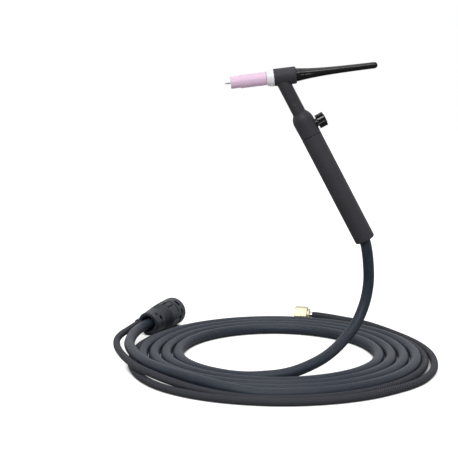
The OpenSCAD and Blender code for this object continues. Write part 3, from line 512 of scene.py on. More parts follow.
def boot_hollow(angle, height):
    """How deep the boot's outside is cut: by the rings, by the hollows round the pads, by the
    grooves and by the vents, whichever is deepest. The tops of the pads stay whole."""
    start, end, pitch, depth = BOOT_RINGS
    wave = 0.5 - 0.5 * np.cos(2 * np.pi * (height - start) / pitch)
    cut = band(height, start, end, 0.6) * depth * wave ** 2

    def edge_of(middle, degrees, half_length, half_width):
        """Millimetres outside a rectangle on the boot's skin, and less than 0 inside it."""
        across = ((np.degrees(angle) - degrees + 180) % 360 - 180) * np.pi / 180 * BOOT_R
        return np.maximum(np.abs(height - middle) - half_length, np.abs(across) - half_width)

    for *place, depth in BOOT_PADS:
        edge = edge_of(*place)
        cut = np.maximum(cut * ease(edge / 0.8), depth * band(edge, 0.1, 1.5, 0.4))
    for middle, half_length, start, end, depth in BOOT_GROOVES:
        there = band((np.degrees(angle) - start) % 360, 0, end - start, 5)
        ring = band(height, middle - half_length, middle + half_length, 0.5)
        cut = np.maximum(cut, depth * ring * there)
    for *place, depth in BOOT_VENTS:
        cut = np.maximum(cut, depth * ease(0.5 - edge_of(*place) / 0.7))
    return cut


def boot_shape(angle, radius, height):
    """The hollows cut the outside. The hose's collar swells from it: the outside is as far out as
    the collar's circle, seen from the boot's axis, and blends into it."""
    outside = band(radius, BOOT_REAR_R - BOOT_SKIN, 100, 0.8)
    cut = boot_hollow(angle, height)
    body = np.minimum(radius - outside * cut, BOOT_R)
    off = angle - math.pi / 2
    inside = COLLAR_R ** 2 - (PORT_OFFSET * np.sin(off)) ** 2
    far_side = PORT_OFFSET * np.cos(off) + np.sqrt(np.maximum(inside, 0))
    reach = np.where((np.cos(off) > 0) & (inside > 0), far_side, 0) * band(height, -9, PORT_LEN, 5)
    blend = 1.4
    h = ease(0.5 + 0.5 * (reach - body) / blend)
    joined = body * (1 - h) + reach * h + 0.35 * blend * h * (1 - h)
    return np.where(outside > 0.5, np.maximum(joined, body), radius)


def boot_rubber():
    """Blue-black rubber: a fine matt grain and soft dusty patches. Painted shade: the hollows,
    whose depth in millimetres the mesh's own attribute gives, are painted near black and lose
    their sheen."""
    material, add, feed = finish("boot_rubber")
    place = add("TexCoord").outputs["Object"]
    grain = noise(add, place, 2600.0, 3.0)
    dust = noise(add, place, 130.0, 4.0, 0.6)
    hollow = add("Attribute", attribute_name="hollow").outputs["Fac"]
    # Painted shade: a hollow's depth, fully from 0.8 mm, paints it near black and takes its sheen
    # away
    painted_hollow_shade = add("MapRange", {"Value": hollow, "From Max": 0.8}).outputs["Result"]
    skin = tinted(add, dust, colour(13, 17, 24), colour(34, 41, 53))
    feed("Base Color", tinted(add, painted_hollow_shade, skin, colour(6, 6, 7)))
    feed("Specular IOR Level", between(add, painted_hollow_shade, 0.42, 0.05))
    feed("Roughness", between(add, dust, 0.38, 0.56))
    feed("Normal", relief(add, grain, 0.3, 0.0001))
    return material


plug_axes = axes(PLUG_PLACE, PLUG_AXIS, (0.022943, 0.047039, -0.998630))
port_origin = placed(np.array([0, PORT_OFFSET, 0]), plug_axes)
port_axes = (port_origin, plug_axes[1])
boot_material = boot_rubber()
boot_profile = boot_outline()
plug_boot = turned("plug_boot", boot_profile, plug_axes, sides=BOOT_SIDES, shape=boot_shape)
boot_angles = 2 * np.pi * np.arange(BOOT_SIDES)[None, :] / BOOT_SIDES
boot_radii, boot_heights = boot_profile[:, :1], boot_profile[:, 1:]
# The depth of each hollow on the outside, kept on the boot's points, from which its material
# paints shade
hollow_depth = boot_hollow(boot_angles, boot_heights) * (boot_radii > BOOT_REAR_R - BOOT_SKIN)
plug_boot.data.attributes.new("hollow", "FLOAT", "POINT").data.foreach_set(
    "value", hollow_depth.astype(np.float32).ravel())
hose_collar = turned("boot_hose_collar", outline(
    (COLLAR_BORE_R, PORT_MOUTH + 0.5),
    arc((COLLAR_BORE_R + 0.55, PORT_MOUTH + 0.55), 0.55, 180, 270),
    arc((COLLAR_R - 0.7, PORT_MOUTH + 0.7), 0.7, 270, 360),
    (COLLAR_R, PORT_MOUTH + 2.4), (COLLAR_R - 0.4, PORT_MOUTH + 3),
    (COLLAR_R - 0.4, COLLAR_END), (COLLAR_BORE_R, COLLAR_END)), port_axes, sides=64)
for piece in (plug_boot, hose_collar):
    piece.data.materials.append(boot_material)
    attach(piece, "torch")
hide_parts("connector_boot")
repaint("gas_hose_in_plug", braid)

# ---- Gas nut: a hexagon turned and threaded from brass bar, plated pale gold, that spins on
# the hose's silver tail. Its chamfered back is a round, notched collar.
NUT_PLACE = (-0.029, 0.252, -0.219)
NUT_AXIS = (-0.978148, 0.207912, 0)
NUT_AF = 22.0
NUT_HALF = 11.0
NUT_WALL = 3.5
NUT_BORE_R = 7.475
NUT_TAIL_BORE_R = 4.25
NUT_COLLAR_LEN = 1.9
NUT_COLLAR_R = 9.3
NUT_GROOVE_LEN = 1.3
NUT_GROOVE_R = 7.9
NUT_THREAD_PITCH = 1.337
NUT_THREAD_DEPTH = 0.45
NUT_NOTCH_DEPTH = 1.3


def nut_shape(angle, radius, height):
    """Outside, the hexagon's distance along each angle, cut by the round chamfers of the outline.
    Inside, a thread: a ridge that winds once round for each pitch. Six notches cut the collar."""
    flat = NUT_AF / 2 / np.cos((angle + np.pi / 6) % (np.pi / 3) - np.pi / 6)
    hexagon = np.minimum(radius, flat)
    thread = (height / NUT_THREAD_PITCH - angle / (2 * np.pi)) % 1
    threaded = band(height, -NUT_HALF + NUT_WALL + 0.6, NUT_HALF - 0.8, 0.4)
    threaded = threaded * (radius < NUT_BORE_R + 0.4)
    ridge = threaded * NUT_THREAD_DEPTH * (1 - 2 * np.abs(thread - 0.5))
    on_collar = (radius > 7) * band(height, -20, -NUT_HALF + NUT_COLLAR_LEN, 0.3)
    notch = band(np.abs((angle * 3 / np.pi) % 1 - 0.5), -1, 0.16, 0.04) * on_collar
    return np.where(radius > NUT_BORE_R + 0.8, hexagon, radius - ridge) - NUT_NOTCH_DEPTH * notch


def plated(name, dark, light, roughness, scale, stretch=(1, 1, 1)):
    """Machined metal: fine tool marks, finer along each axis by its stretch, and a slow drift in
    its colour."""
    material, add, feed = finish(name, Metallic=1.0)
    place = add("TexCoord").outputs["Object"]
    marks_place = add("Mapping", {"Vector": place, "Scale": stretch}).outputs["Vector"]
    marks = noise(add, marks_place, scale, 4.0)
    drift = noise(add, place, 90.0, 3.0)
    feed("Base Color", tinted(add, drift, dark, light))
    feed("Roughness", between(add, marks, *roughness))
    feed("Normal", relief(add, marks, 0.25, 0.00004))
    return material


nut_corner = NUT_AF / 2 / math.cos(math.pi / 6)
nut_hex_start = -NUT_HALF + NUT_COLLAR_LEN + NUT_GROOVE_LEN
nut_profile = dense(outline(
    (NUT_TAIL_BORE_R, -NUT_HALF), (NUT_COLLAR_R - 0.4, -NUT_HALF), (NUT_COLLAR_R, -NUT_HALF + 0.4),
    (NUT_COLLAR_R, -NUT_HALF + NUT_COLLAR_LEN - 0.2), (NUT_GROOVE_R, -NUT_HALF + NUT_COLLAR_LEN),
    (NUT_GROOVE_R, nut_hex_start), (NUT_AF / 2 - 0.5, nut_hex_start + 0.1),
    (nut_corner + 0.1, nut_hex_start + 0.9), (nut_corner + 0.1, NUT_HALF - 1.1),
    (NUT_AF / 2 - 0.3, NUT_HALF), (NUT_BORE_R + 0.5, NUT_HALF), (NUT_BORE_R, NUT_HALF - 0.5),
    (NUT_BORE_R, -NUT_HALF + NUT_WALL), (NUT_TAIL_BORE_R, -NUT_HALF + NUT_WALL)), 0.22)
nut_axes = axes(NUT_PLACE, NUT_AXIS, (0, 0, 1))
gas_nut = turned("gas_nut_plated", nut_profile, nut_axes, sides=192, shape=nut_shape, sharp=24)
pale_gold = plated("pale_gold", colour(177, 168, 144), colour(200, 191, 167), (0.48, 0.6), 500.0)
gas_nut.data.materials.append(pale_gold)
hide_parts("gas_nut")
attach(gas_nut, "gas_nut")

# ---- Handle grip: a straight tube moulded in charcoal plastic, with a fine spark-eroded grain,
# a rounded lower edge and a socket that takes the valve housing.
LEAN = math.radians(28)
SEAM = 78.0
GRIP_LOW = 72.5
GRIP_R = 13.1
GRIP_BORE_R = 10.1
GRIP_EDGE_R = 2.5
SOCKET_R = 11.6
SOCKET_DEPTH = 6.5
SEAM_EDGE = 0.5


def charcoal_plastic():
    """Charcoal plastic: the fine grain of a spark-eroded mould, faint clouds in its colour and
    roughness, and a little polish where hands rub it."""
    material, add, feed = finish("charcoal_plastic", Specular_IOR_Level=0.2)
    place = add("TexCoord").outputs["Object"]
    grain = noise(add, place, 1900.0, 4.0, 0.7)
    cloud = noise(add, place, 45.0, 5.0, 0.55)
    speck = product(add, grain, cloud)
    feed("Base Color", tinted(add, speck, colour(45, 44, 48), colour(68, 66, 73)))
    feed("Roughness", between(add, cloud, 0.46, 0.64))
    feed("Normal", relief(add, grain, 0.35, 0.00012))
    return material


lean_sin, lean_cos = math.sin(LEAN), math.cos(LEAN)
handle_axes = axes((0, 0, 0), (-lean_sin, 0, lean_cos), (lean_cos, 0, lean_sin))
grip_profile = outline(
    arc((GRIP_BORE_R + 0.6, -GRIP_LOW + 0.6), 0.6, 180, 270, 4),
    arc((GRIP_R - GRIP_EDGE_R, -GRIP_LOW + GRIP_EDGE_R), GRIP_EDGE_R, 270, 360, 10),
    arc((GRIP_R - SEAM_EDGE, SEAM - SEAM_EDGE), SEAM_EDGE, 0, 90, 4),
    (SOCKET_R, SEAM), (SOCKET_R, SEAM - SOCKET_DEPTH), (GRIP_BORE_R, SEAM - SOCKET_DEPTH))
handle_grip = turned("handle_grip_moulded", grip_profile, handle_axes, sides=128)
charcoal = charcoal_plastic()
handle_grip.data.materials.append(charcoal)
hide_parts("handle_grip")
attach(handle_grip, "torch")

# ---- Valve housing: the handle's domed front, moulded in the same plastic. Its spigot sits in
# the grip, its rim closes round the neck, and a round hole in its side lets the valve out.
FRONT_R = 13.3
FRONT_BORE_R = 10.3
SPIGOT_R = 11.5
DOME_START = 99.0
DOME_R = 17.0
RIM_R = 9.05
RIM_LEN = 0.7
NECK_HOLE_R = 8.6
NECK_BOTTOM = 97.5
VALVE_HEIGHT = 90.0
VALVE_HOLE_R = 5.7
SLIP = 0.1


def joined(piece, other, operation):
    """The piece's mesh joined with the other's, or cut by it. The other piece is used up."""
    change = piece.modifiers.new(operation.lower(), "BOOLEAN")
    change.operation = operation
    change.object = other
    change.solver = "MANIFOLD"
    shown = piece.evaluated_get(bpy.context.evaluated_depsgraph_get())
    mesh = bpy.data.meshes.new_from_object(shown)
    piece.modifiers.clear()
    mesh.materials.clear()
    piece.data = mesh
    bpy.data.objects.remove(other)
    mesh.polygons.foreach_set("use_smooth", np.ones(len(mesh.polygons), bool))
    mesh.set_sharp_from_angle(angle=math.radians(SHARP_EDGE))
    return piece


def drill(where, radius, start, end, sides=96):
    """A plain cylinder along a frame's +Z, used to cut a bore."""
    profile = outline((radius, start), (radius, end))
    return turned("drill", profile, where, sides, closed=False, ends=(0, -1))


dome_drop = FRONT_R - RIM_R
dome_angle = math.degrees(math.acos(1 - dome_drop / DOME_R))
front_top = DOME_START + DOME_R * math.sin(math.radians(dome_angle)) + RIM_LEN
front_profile = outline(
    (SPIGOT_R, SEAM - SOCKET_DEPTH + SLIP), (SPIGOT_R, SEAM + SLIP), (GRIP_R - 1.0, SEAM + SLIP),
    (GRIP_R - 1.0, SEAM + SLIP + 0.6), arc((GRIP_R - 0.3, SEAM + SLIP + 0.9), 0.3, 270, 360, 4),
    arc((FRONT_R - DOME_R, DOME_START), DOME_R, 0, dome_angle, 18),
    (RIM_R, front_top - 0.3), (RIM_R - 0.25, front_top), (NECK_HOLE_R, front_top),
    (NECK_HOLE_R, NECK_BOTTOM), (FRONT_BORE_R, NECK_BOTTOM),
    (FRONT_BORE_R, SEAM - SOCKET_DEPTH + SLIP))
handle_front = turned("valve_housing", dense(front_profile, 4), handle_axes, sides=128)
valve_origin = placed(np.array([0, 0, VALVE_HEIGHT]), handle_axes)
valve_axes = axes(valve_origin, (lean_cos, 0, lean_sin), (lean_sin, 0, -lean_cos))
handle_front = joined(handle_front, drill(valve_axes, VALVE_HOLE_R, 5, 20), "DIFFERENCE")
handle_front.data.materials.append(charcoal)
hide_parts("handle_front")
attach(handle_front, "torch")

# ---- Head and neck jacket: silicone rubber moulded in one over the brass head and the copper
# neck. A small fillet runs where the neck meets the barrel, and a bare oval lies on the neck.
CROSS = 162.0
NECK_R = 8.5
# The neck's rows are set out over this length below the barrel, and stretched to reach its
# bottom. This near to the barrel they aren't stretched, and follow its curve
NECK_RUN = 58
NECK_TOP = 4
NECK_SIDES = 160
HEAD_R = 10.85
HEAD_FRONT = 8.2
HEAD_REAR = -20.0
HEAD_EDGE_R = 2.2
HEAD_BORE_R = 7.6
HEAD_BORE_END = -17.6
CAP_HOLE_R = 6.2
NECK_FILLET = 0.9
NECK_TUBE_BORE_R = 4.1
VALVE_NECK_BORE_R = 6.1
VALVE_NECK_TOP = 106.1
HEAD_TILT = math.radians(69)
# The oval on the neck's left side: its centre up the handle, its half length, half width, depth
OVAL = (132.8, 10.5, 3.4, 0.6)


def neck_grid():
    """The neck's outside, as rows from its bottom up to the barrel. Each row near the top is wider
    by the fillet's arc, and follows the line where a cylinder of its width meets the barrel: the
    lower of the two crossings that a square equation gives. The oval is sunk where a point is
    inside its ellipse, with a soft edge."""
    angle = 2 * np.pi * np.arange(NECK_SIDES) / NECK_SIDES
    below = np.concatenate([
        np.linspace(NECK_RUN, 3.2, 120), np.linspace(3.0, 0.9, 8), np.linspace(0.85, 0, 9)])
    flare = NECK_FILLET - np.sqrt(NECK_FILLET ** 2 - np.clip(NECK_FILLET - below, 0, None) ** 2)
    radius = (NECK_R + flare)[:, None] + 0 * angle
    a = math.sin(HEAD_TILT) ** 2
    b = -2 * math.sin(HEAD_TILT) * math.cos(HEAD_TILT) * radius * np.cos(angle)
    c = radius ** 2 * (1 - math.sin(HEAD_TILT) ** 2 * np.cos(angle) ** 2) - (HEAD_R - 0.05) ** 2
    meets = CROSS - (-b + np.sqrt(b ** 2 - 4 * a * c)) / (2 * a)
    share = np.clip(1 - below[:, None] / NECK_RUN, 0, 1) / (1 - NECK_TOP / NECK_RUN)
    height = np.where(below[:, None] < NECK_TOP, meets - below[:, None],
                      NECK_BOTTOM + (meets - NECK_TOP - NECK_BOTTOM) * share)
    centre, half_length, half_width, depth = OVAL
    across = NECK_R * (np.abs(angle - 1.5 * np.pi))
    reach = np.hypot((height - centre) / half_length, across / half_width)
    radius = radius - depth * ease((1.0 - reach) / 0.1 + 0.5)
    inner_r = 0.4 * NECK_R
    inner_top = np.stack([inner_r * np.cos(angle), inner_r * np.sin(angle), 0 * angle + CROSS], -1)
    skirt = np.stack([radius * np.cos(angle), radius * np.sin(angle), height], axis=-1)
    return np.concatenate([skirt, inner_top[None]])


head_axes = axes(
    placed(np.array([0, 0, CROSS]), handle_axes),
    np.array([-math.sin(HEAD_TILT), 0, math.cos(HEAD_TILT)]) @ handle_axes[1],
    np.array([math.cos(HEAD_TILT), 0, math.sin(HEAD_TILT)]) @ handle_axes[1])
barrel = turned("head_jacket_moulded", dense(outline(
    arc((HEAD_R - HEAD_EDGE_R, HEAD_REAR + HEAD_EDGE_R), HEAD_EDGE_R, 270, 360, 10),
    arc((HEAD_R - 0.35, HEAD_FRONT - 0.35), 0.35, 0, 90, 4)), 2.5, closed=False),
    head_axes, sides=160, closed=False, ends=(0, -1))
neck = surface("neck", placed(neck_grid(), handle_axes), ends=(0, -1))
head_jacket = joined(barrel, neck, "UNION")
for cutter in (
        drill(head_axes, HEAD_BORE_R, HEAD_BORE_END, HEAD_FRONT + 1),
        drill(head_axes, CAP_HOLE_R, HEAD_REAR - 1, HEAD_BORE_END + 1),
        drill(handle_axes, NECK_TUBE_BORE_R, NECK_BOTTOM - 1, CROSS),
        drill(handle_axes, VALVE_NECK_BORE_R, NECK_BOTTOM - 1, VALVE_NECK_TOP)):
    head_jacket = joined(head_jacket, cutter, "DIFFERENCE")
head_jacket.data.materials.append(charcoal)
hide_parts("head_jacket")
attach(head_jacket, "torch")

# ---- Ceramic cup: pressed alumina, coloured pink and fired, with a narrower nose. It screws on
# the collet body's thread, up against the gasket.
CUP_REAR = 17.8
CUP_FRONT = 62.9
CUP_R = 8.25
CUP_TIP_R = 7.5
CUP_TIP_LEN = 12.2
CUP_BORE_R = 5.6
CUP_EDGE_R = 1.3
CUP_LIP_R = 0.5
CUP_THREAD_R = 5.1
CUP_THREAD_LEN = 10.0


def pink_alumina():
    """Fired pink ceramic: a dry, faintly sandy skin, pale clouds and very small dark specks."""
    material, add, feed = finish("pink_alumina", Specular_IOR_Level=0.45,
                                 Subsurface_Weight=0.12, Subsurface_Scale=0.002)
    place = add("TexCoord").outputs["Object"]
    cloud = noise(add, place, 160.0, 5.0)
    sand = noise(add, place, 3200.0, 2.0)
    speck = add("TexVoronoi", {"Vector": place, "Scale": 420.0}).outputs["Distance"]
    dot = add("MapRange", {"Value": speck, "From Min": 0.05, "From Max": 0.1}).outputs["Result"]
    body = tinted(add, cloud, colour(224, 189, 215), colour(238, 207, 231))
    feed("Base Color", tinted(add, dot, colour(205, 165, 190), body))
    feed("Roughness", between(add, cloud, 0.38, 0.58))
    feed("Normal", relief(add, sand, 0.2, 0.00008))
    return material


cup_step = CUP_FRONT - CUP_TIP_LEN
ceramic_cup = turned("ceramic_cup_fired", outline(
    (CUP_THREAD_R, CUP_REAR),
    arc((CUP_R - CUP_EDGE_R, CUP_REAR + CUP_EDGE_R), CUP_EDGE_R, 270, 360),
    arc((CUP_R - 0.3, cup_step - 0.3), 0.3, 0, 90, 4),
    (CUP_TIP_R + 0.15, cup_step), (CUP_TIP_R, cup_step + 0.2),
    arc((CUP_TIP_R - CUP_LIP_R, CUP_FRONT - CUP_LIP_R), CUP_LIP_R, 0, 90, 5),
    arc((CUP_BORE_R + CUP_LIP_R, CUP_FRONT - CUP_LIP_R), CUP_LIP_R, 90, 180, 5),
    (CUP_BORE_R, CUP_REAR + CUP_THREAD_LEN), (CUP_THREAD_R, CUP_REAR + CUP_THREAD_LEN)),
    head_axes, sides=128)
ceramic_cup.data.materials.append(pink_alumina())
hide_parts("ceramic_cup")
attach(ceramic_cup, "cup")

# ---- Cup gasket: a ring turned from white heat-proof plastic. Its spigot sits in the head's
# front, and it keeps the cup's heat and the arc's current off the head.
GASKET_FRONT_R = 9.6
GASKET_REAR_R = 10.75
GASKET_FRONT = 17.7
GASKET_EDGE_R = 1.6
GASKET_BORE_R = 5.2
GASKET_SPIGOT_R = 7.5
GASKET_SEAT = 3.0


def white_plastic():
    """Waxy white plastic: light scatters a little under its skin, with faint clouds in its colour
    and roughness and a fine grain.
    """
    material, add, feed = finish("white_plastic", Subsurface_Weight=0.2, Subsurface_Scale=0.002)
    place = add("TexCoord").outputs["Object"]
    cloud = noise(add, place, 220.0, 4.0)
    fine = noise(add, place, 2400.0, 2.0)
    feed("Base Color", tinted(add, cloud, colour(232, 232, 236), colour(247, 247, 250)))
    feed("Roughness", between(add, cloud, 0.3, 0.5))
    feed("Normal", relief(add, fine, 0.12, 0.00005))
    return material


cup_gasket = turned("cup_gasket_turned", outline(
    (GASKET_BORE_R, HEAD_FRONT - GASKET_SEAT), (GASKET_SPIGOT_R, HEAD_FRONT - GASKET_SEAT),
    (GASKET_SPIGOT_R, HEAD_FRONT + SLIP), (GASKET_REAR_R - 0.3, HEAD_FRONT + SLIP),
    (GASKET_REAR_R, HEAD_FRONT + SLIP + 0.3),
    (GASKET_REAR_R - 0.15, GASKET_FRONT - GASKET_EDGE_R - 3.4),
    arc((GASKET_FRONT_R - GASKET_EDGE_R, GASKET_FRONT - GASKET_EDGE_R), GASKET_EDGE_R, 0, 90),
    (GASKET_BORE_R + 0.3, GASKET_FRONT), (GASKET_BORE_R, GASKET_FRONT - 0.3)),
    head_axes, sides=128)
cup_gasket.data.materials.append(white_plastic())
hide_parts("cup_gasket")
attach(cup_gasket, "torch")

# ---- Electrode: a sintered tungsten rod, ground bright, with a long point ground on its front
# end. The copper collet grips it once the back cap is screwed in.
ELECTRODE_R = 1.2
ELECTRODE_LEN = 175.0
ELECTRODE_POINT = 4.0
TIP_R = 0.25
STICK_OUT = 7.8
tip = CUP_FRONT + STICK_OUT
tungsten = plated("tungsten", colour(120, 120, 124), colour(190, 190, 194), (0.25, 0.5), 700.0)
electrode = turned("electrode_rod", dense(outline(
    (0.9, tip - ELECTRODE_LEN), (ELECTRODE_R, tip - ELECTRODE_LEN + 0.3),
    (ELECTRODE_R, tip - ELECTRODE_POINT), arc((0, tip - TIP_R), TIP_R, 30, 80, 4)),
    6, closed=False), head_axes, sides=40, closed=False, ends=(0, -1))
electrode.data.materials.append(tungsten)
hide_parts("electrode")
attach(electrode, "electrode")

# ---- Back cap: a long tail moulded in hard black phenolic and polished. Flutes along its taper
# give the fingers a hold, and an O-ring on its shank seals the head.
CAP_FACE = -20.1
CAP_LEN = 102.0
CAP_ROOT_R = 8.35
CAP_BAND_R = 7.95
CAP_BAND = 4.0
CAP_TIP_R = 3.9
CAP_TAPER = 28.0
CAP_SHANK_R = 6.0
CAP_SHANK_FRONT = -9.0
CAP_BORE_R = 1.6
CAP_POCKET_R = 3.1
CAP_POCKET_END = -9.8
FLUTES = 8
FLUTE_R = 1.5
FLUTE_DEPTH = 0.9
FLUTE_LEN = 60.0
FLUTE_LEAN = math.radians(4)
# The O-ring's groove: its radius, its middle and its half width
RING_GROOVE = (4.95, -18.4, 0.7)


def cap_radius(s):
    """The cap's radius a distance s behind the head: a straight cone over the short band, then
    the tip's radius and a part that falls off exponentially."""
    taper = CAP_TIP_R + (CAP_BAND_R - CAP_TIP_R) * np.exp((CAP_BAND - s) / CAP_TAPER)
    return np.where(s < CAP_BAND, CAP_ROOT_R + (CAP_BAND_R - CAP_ROOT_R) * s / CAP_BAND, taper)


def cap_shape(angle, radius, height):
    """Each flute is the near side of a thin cylinder that leans in along the taper: the radius is
    cut where that cylinder is nearer the axis, and its front end runs out in a scoop."""
    s = CAP_FACE - height
    outside = (radius > CAP_SHANK_R + 0.05) | (s > CAP_LEN - 6)
    centre = CAP_BAND_R + FLUTE_R - FLUTE_DEPTH - (s - CAP_BAND) * math.tan(FLUTE_LEAN)
    scoop = ease((s - CAP_BAND) / 1.6) * ease((CAP_BAND + FLUTE_LEN - s) / 8)
    size = FLUTE_R * np.sqrt(np.clip(scoop, 1e-6, 1))
    off = ((angle * FLUTES / (2 * np.pi) + 0.5) % 1 - 0.5) * 2 * np.pi / FLUTES
    under = size ** 2 - (centre * np.sin(off)) ** 2
    near = np.where(under > 0, centre * np.cos(off) - np.sqrt(np.maximum(under, 0)), 1e3)
    soft = 0.12
    h = np.clip(0.5 + 0.5 * (radius - near) / soft, 0, 1)
    fluted = radius * (1 - h) + near * h - soft * h * (1 - h)
    in_flutes = (near < 100) & (s > CAP_BAND) & (s < CAP_BAND + FLUTE_LEN)
    return np.where(outside & in_flutes, fluted, radius)


def black_phenolic():
    """Polished black phenolic, with the faint ripple and haze of handling."""
    material, add, feed = finish("black_phenolic", Specular_IOR_Level=0.2)
    place = add("TexCoord").outputs["Object"]
    haze = noise(add, place, 70.0, 6.0, 0.65)
    ripple = noise(add, place, 320.0, 2.0)
    feed("Base Color", tinted(add, haze, colour(3, 3, 4), colour(13, 13, 15)))
    feed("Roughness", between(add, haze, 0.12, 0.26))
    feed("Normal", relief(add, ripple, 0.03, 0.0001))
    return material


cap_tip_centre = CAP_FACE - CAP_LEN + CAP_TIP_R
cap_s = np.concatenate([np.linspace(0.35, CAP_BAND, 6), np.linspace(CAP_BAND + 0.05, 8, 22),
                        np.linspace(8.4, CAP_LEN - CAP_TIP_R, 120)])
groove_r, groove_middle, groove_half = RING_GROOVE
groove_front, groove_rear = groove_middle + groove_half, groove_middle - groove_half
cap_profile = outline(
    (CAP_POCKET_R, CAP_SHANK_FRONT), (CAP_SHANK_R, CAP_SHANK_FRONT),
    (CAP_SHANK_R, groove_front), (groove_r, groove_front), (groove_r, groove_rear),
    (CAP_SHANK_R, groove_rear), (CAP_SHANK_R, CAP_FACE), (CAP_ROOT_R - 0.35, CAP_FACE),
    np.stack([cap_radius(cap_s), CAP_FACE - cap_s], axis=-1),
    arc((0, cap_tip_centre), cap_radius(CAP_LEN - CAP_TIP_R), -6, -88, 14))
cap_solid = turned("back_cap_moulded", cap_profile, head_axes, sides=240, shape=cap_shape,
                   closed=False, ends=(0, -1), sharp=28)
for cutter in (
        drill(head_axes, CAP_BORE_R, cap_tip_centre + 1, CAP_SHANK_FRONT + 1, 48),
        drill(head_axes, CAP_POCKET_R, CAP_POCKET_END, CAP_SHANK_FRONT + 1, 64)):
    cap_solid = joined(cap_solid, cutter, "DIFFERENCE")
phenolic = black_phenolic()
cap_solid.data.materials.append(phenolic)
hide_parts("back_cap")
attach(cap_solid, "cap")

# ---- Valve knob: a small lobed wheel moulded in the same black phenolic. It sits on the end of
# the valve's spindle, held by a slotted steel screw.
KNOB_START = 15.1
KNOB_LEN = 10.4
KNOB_FACE_RISE = 0.7
KNOB_FACE_R = 6.35
KNOB_R = 9.45
KNOB_LOBES = 8
LOBE_R = 2.0
LOBE_FLAT = 0.3
KNOB_EDGE = 0.45
KNOB_BORE_R = 2.05
KNOB_BORE_END = 23.3
KNOB_RECESS_R = 2.8


def knob_shape(angle, radius, height):
    """The rim is a circle with a small round lobe at every step: the far side of whichever lobe is
    nearest in angle, where it stands out past the circle, cut flat LOBE_FLAT below its crown."""
    step = 2 * np.pi / KNOB_LOBES
    off = ((angle / step) % 1 - 0.5) * step
    centre = KNOB_R - LOBE_R
    under = LOBE_R ** 2 - (centre * np.sin(off)) ** 2
    lobe = np.where(under > 0, centre * np.cos(off) + np.sqrt(np.maximum(under, 0)), 0)
    rim = np.minimum(np.maximum(centre, lobe), (KNOB_R - LOBE_FLAT) / np.maximum(np.cos(off), 0.9))
    lobed = KNOB_FACE_R + (radius - KNOB_FACE_R) * (rim - KNOB_FACE_R) / (KNOB_R - KNOB_FACE_R)
    return np.where(radius > KNOB_FACE_R, lobed, radius)


knob_end = KNOB_START + KNOB_LEN
knob_face = knob_end + KNOB_FACE_RISE
valve_knob = turned("valve_knob_moulded", dense(outline(
    (KNOB_BORE_R, KNOB_START), (KNOB_R - 2.6, KNOB_START), (KNOB_R - 2.6, KNOB_START + 0.01),
    arc((KNOB_R - KNOB_EDGE, KNOB_START + KNOB_EDGE), KNOB_EDGE, 270, 360, 4),
    arc((KNOB_R - KNOB_EDGE, knob_end - KNOB_EDGE), KNOB_EDGE, 0, 90, 4),
    (KNOB_FACE_R + 0.02, knob_end), arc((KNOB_FACE_R - 1, knob_face - 1), 1, 20, 90, 6),
    (KNOB_RECESS_R + 0.4, knob_face), (KNOB_RECESS_R, knob_face - 0.4),
    (KNOB_RECESS_R, KNOB_BORE_END), (KNOB_BORE_R, KNOB_BORE_END)), 1.5),
    valve_axes, sides=256, shape=knob_shape)
valve_knob.data.materials.append(phenolic)
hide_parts("valve_knob")
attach(valve_knob, "knob")

# ---- Metal and rubber inside: turned brass, drawn copper and bright steel, which show at the
# plug's end, round the valve's gland, in the cup's mouth, and where a piece is taken off.
brass = plated("turned_brass", colour(168, 130, 66), colour(222, 188, 118), (0.18, 0.4), 1100.0,
               (1, 1, 3))
copper = plated("drawn_copper", colour(150, 84, 56), colour(214, 138, 100), (0.22, 0.45), 900.0,
                (1, 3, 1))
steel = plated("bright_steel", colour(118, 117, 115), colour(178, 176, 172), (0.2, 0.36), 900.0)


def seal_rubber():
    """Soft black rubber of an O-ring, with a thin film of grease."""
    material, add, feed = finish("seal_rubber")
    place = add("TexCoord").outputs["Object"]
    film = noise(add, place, 600.0, 3.0)
    feed("Base Color", tinted(add, film, colour(16, 16, 17), colour(34, 34, 36)))
    feed("Roughness", between(add, film, 0.25, 0.5))
    return material


SHOWN_AS_MADE = (
    (brass, ("head_core", "valve_body", "cable_union_nut", "cable_tail", "plug_pin", "plug_block",
             "gas_spigot")),
    (copper, ("collet_body", "collet", "neck_tube", "cable_ferrule", "cable_core")),
    (steel, ("valve_spindle", "knob_screw", "plug_set_screws", "gas_tail")),
    (seal_rubber(), ("back_cap_oring", "spindle_oring")),
    (phenolic, ("gland_nut",)),
)
WELD_GAP = 0.000002
EDGE_ANGLE = math.radians(30)
for material, nodes in SHOWN_AS_MADE:
    for node in nodes:
        repaint(node, material)
# A CAD node's triangles are loose: its points are joined, and its real edges kept sharp
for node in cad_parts.values():
    if not node.hide_render:
        node.data.polygons.foreach_set("use_smooth", np.ones(len(node.data.polygons), bool))
        node.modifiers.new("weld", "WELD").merge_threshold = WELD_GAP
        node.modifiers.new("edges", "EDGE_SPLIT").split_angle = EDGE_ANGLE

# ---- Floor, room and lamps: a pale floor that looks white but for the shade close under the
# torch, in a white room, with soft lamps from above and from the front.
FLOOR_SIZE = 9.0
FLOOR_GREY = 0.55
# The floor glows by how open the air is within SHADE_REACH of it: not at all up to the first of
# SHADE_SHARES, and fully from the second on
SHADE_REACH = 0.012
SHADE_SHARES = (0.25, 0.6)
FLOOR_GLOW = 0.82
# The room's strength as a light, and as it is seen and mirrored
ROOM_LIGHT = 0.13
ROOM_SEEN = 1.0
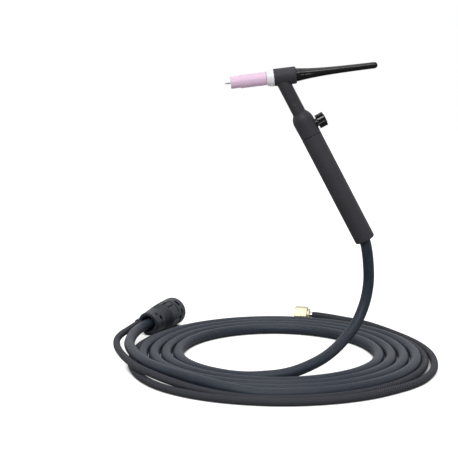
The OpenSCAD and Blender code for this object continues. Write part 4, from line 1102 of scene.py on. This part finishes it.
# Lamps: strength, and in degrees how wide each is, its tilt from straight down and its turn
LAMPS = (
    ("ceiling", 1.1, 36, -4, -12),
    ("left_window", 1.2, 14, 52, -20),
    ("right_window", 0.6, 20, 44, 10),
    ("bright_strip", 0.45, 11, 45.5, 8),
)

half = FLOOR_SIZE / 2
floor_corners = [(-half, -half, GROUND), (half, -half, GROUND), (half, half, GROUND),
                 (-half, half, GROUND)]
floor_mesh = bpy.data.meshes.new("floor")
floor_mesh.from_pydata(floor_corners, [], [(0, 1, 2, 3)])
floor = bpy.data.objects.new("floor", floor_mesh)
bpy.context.scene.collection.objects.link(floor)

floor_paint, add, feed = finish(
    "floor_paint", Base_Color=(FLOOR_GREY, FLOOR_GREY, FLOOR_GREY, 1), Roughness=0.9,
    Specular_IOR_Level=0.0, Emission_Color=(1, 1, 1, 1))
open_air = add("AmbientOcclusion", {"Distance": SHADE_REACH}).outputs["AO"]
glow = add("MapRange", {"Value": open_air, "From Min": SHADE_SHARES[0],
                        "From Max": SHADE_SHARES[1], "To Max": FLOOR_GLOW}).outputs["Result"]
feed("Emission Strength", product(add, add("LightPath").outputs["Is Camera Ray"], glow))
floor_mesh.materials.append(floor_paint)

world = bpy.data.worlds.new("room")
bpy.context.scene.world = world
world.use_nodes = True
room = world.node_tree.nodes["Background"]
room.inputs["Color"].default_value = (1, 1, 1, 1)
add = adder(world.node_tree)
ray = add("LightPath").outputs
mirrored = add("Math", {0: ray["Is Glossy Ray"], 1: ray["Is Transmission Ray"]},
               operation="MAXIMUM").outputs["Value"]
direct = add("Math", {0: ray["Is Camera Ray"], 1: mirrored},
             operation="MAXIMUM").outputs["Value"]
world.node_tree.links.new(between(add, direct, ROOM_LIGHT, ROOM_SEEN), room.inputs["Strength"])

for name, strength, spread, tilt, turn in LAMPS:
    lamp_data = bpy.data.lights.new(name, "SUN")
    lamp_data.energy = strength
    lamp_data.angle = math.radians(spread)
    lamp = bpy.data.objects.new(name, lamp_data)
    lamp.rotation_euler = (math.radians(tilt), 0, math.radians(turn))
    bpy.context.scene.collection.objects.link(lamp)

bpy.context.scene.view_settings.view_transform = "Standard"
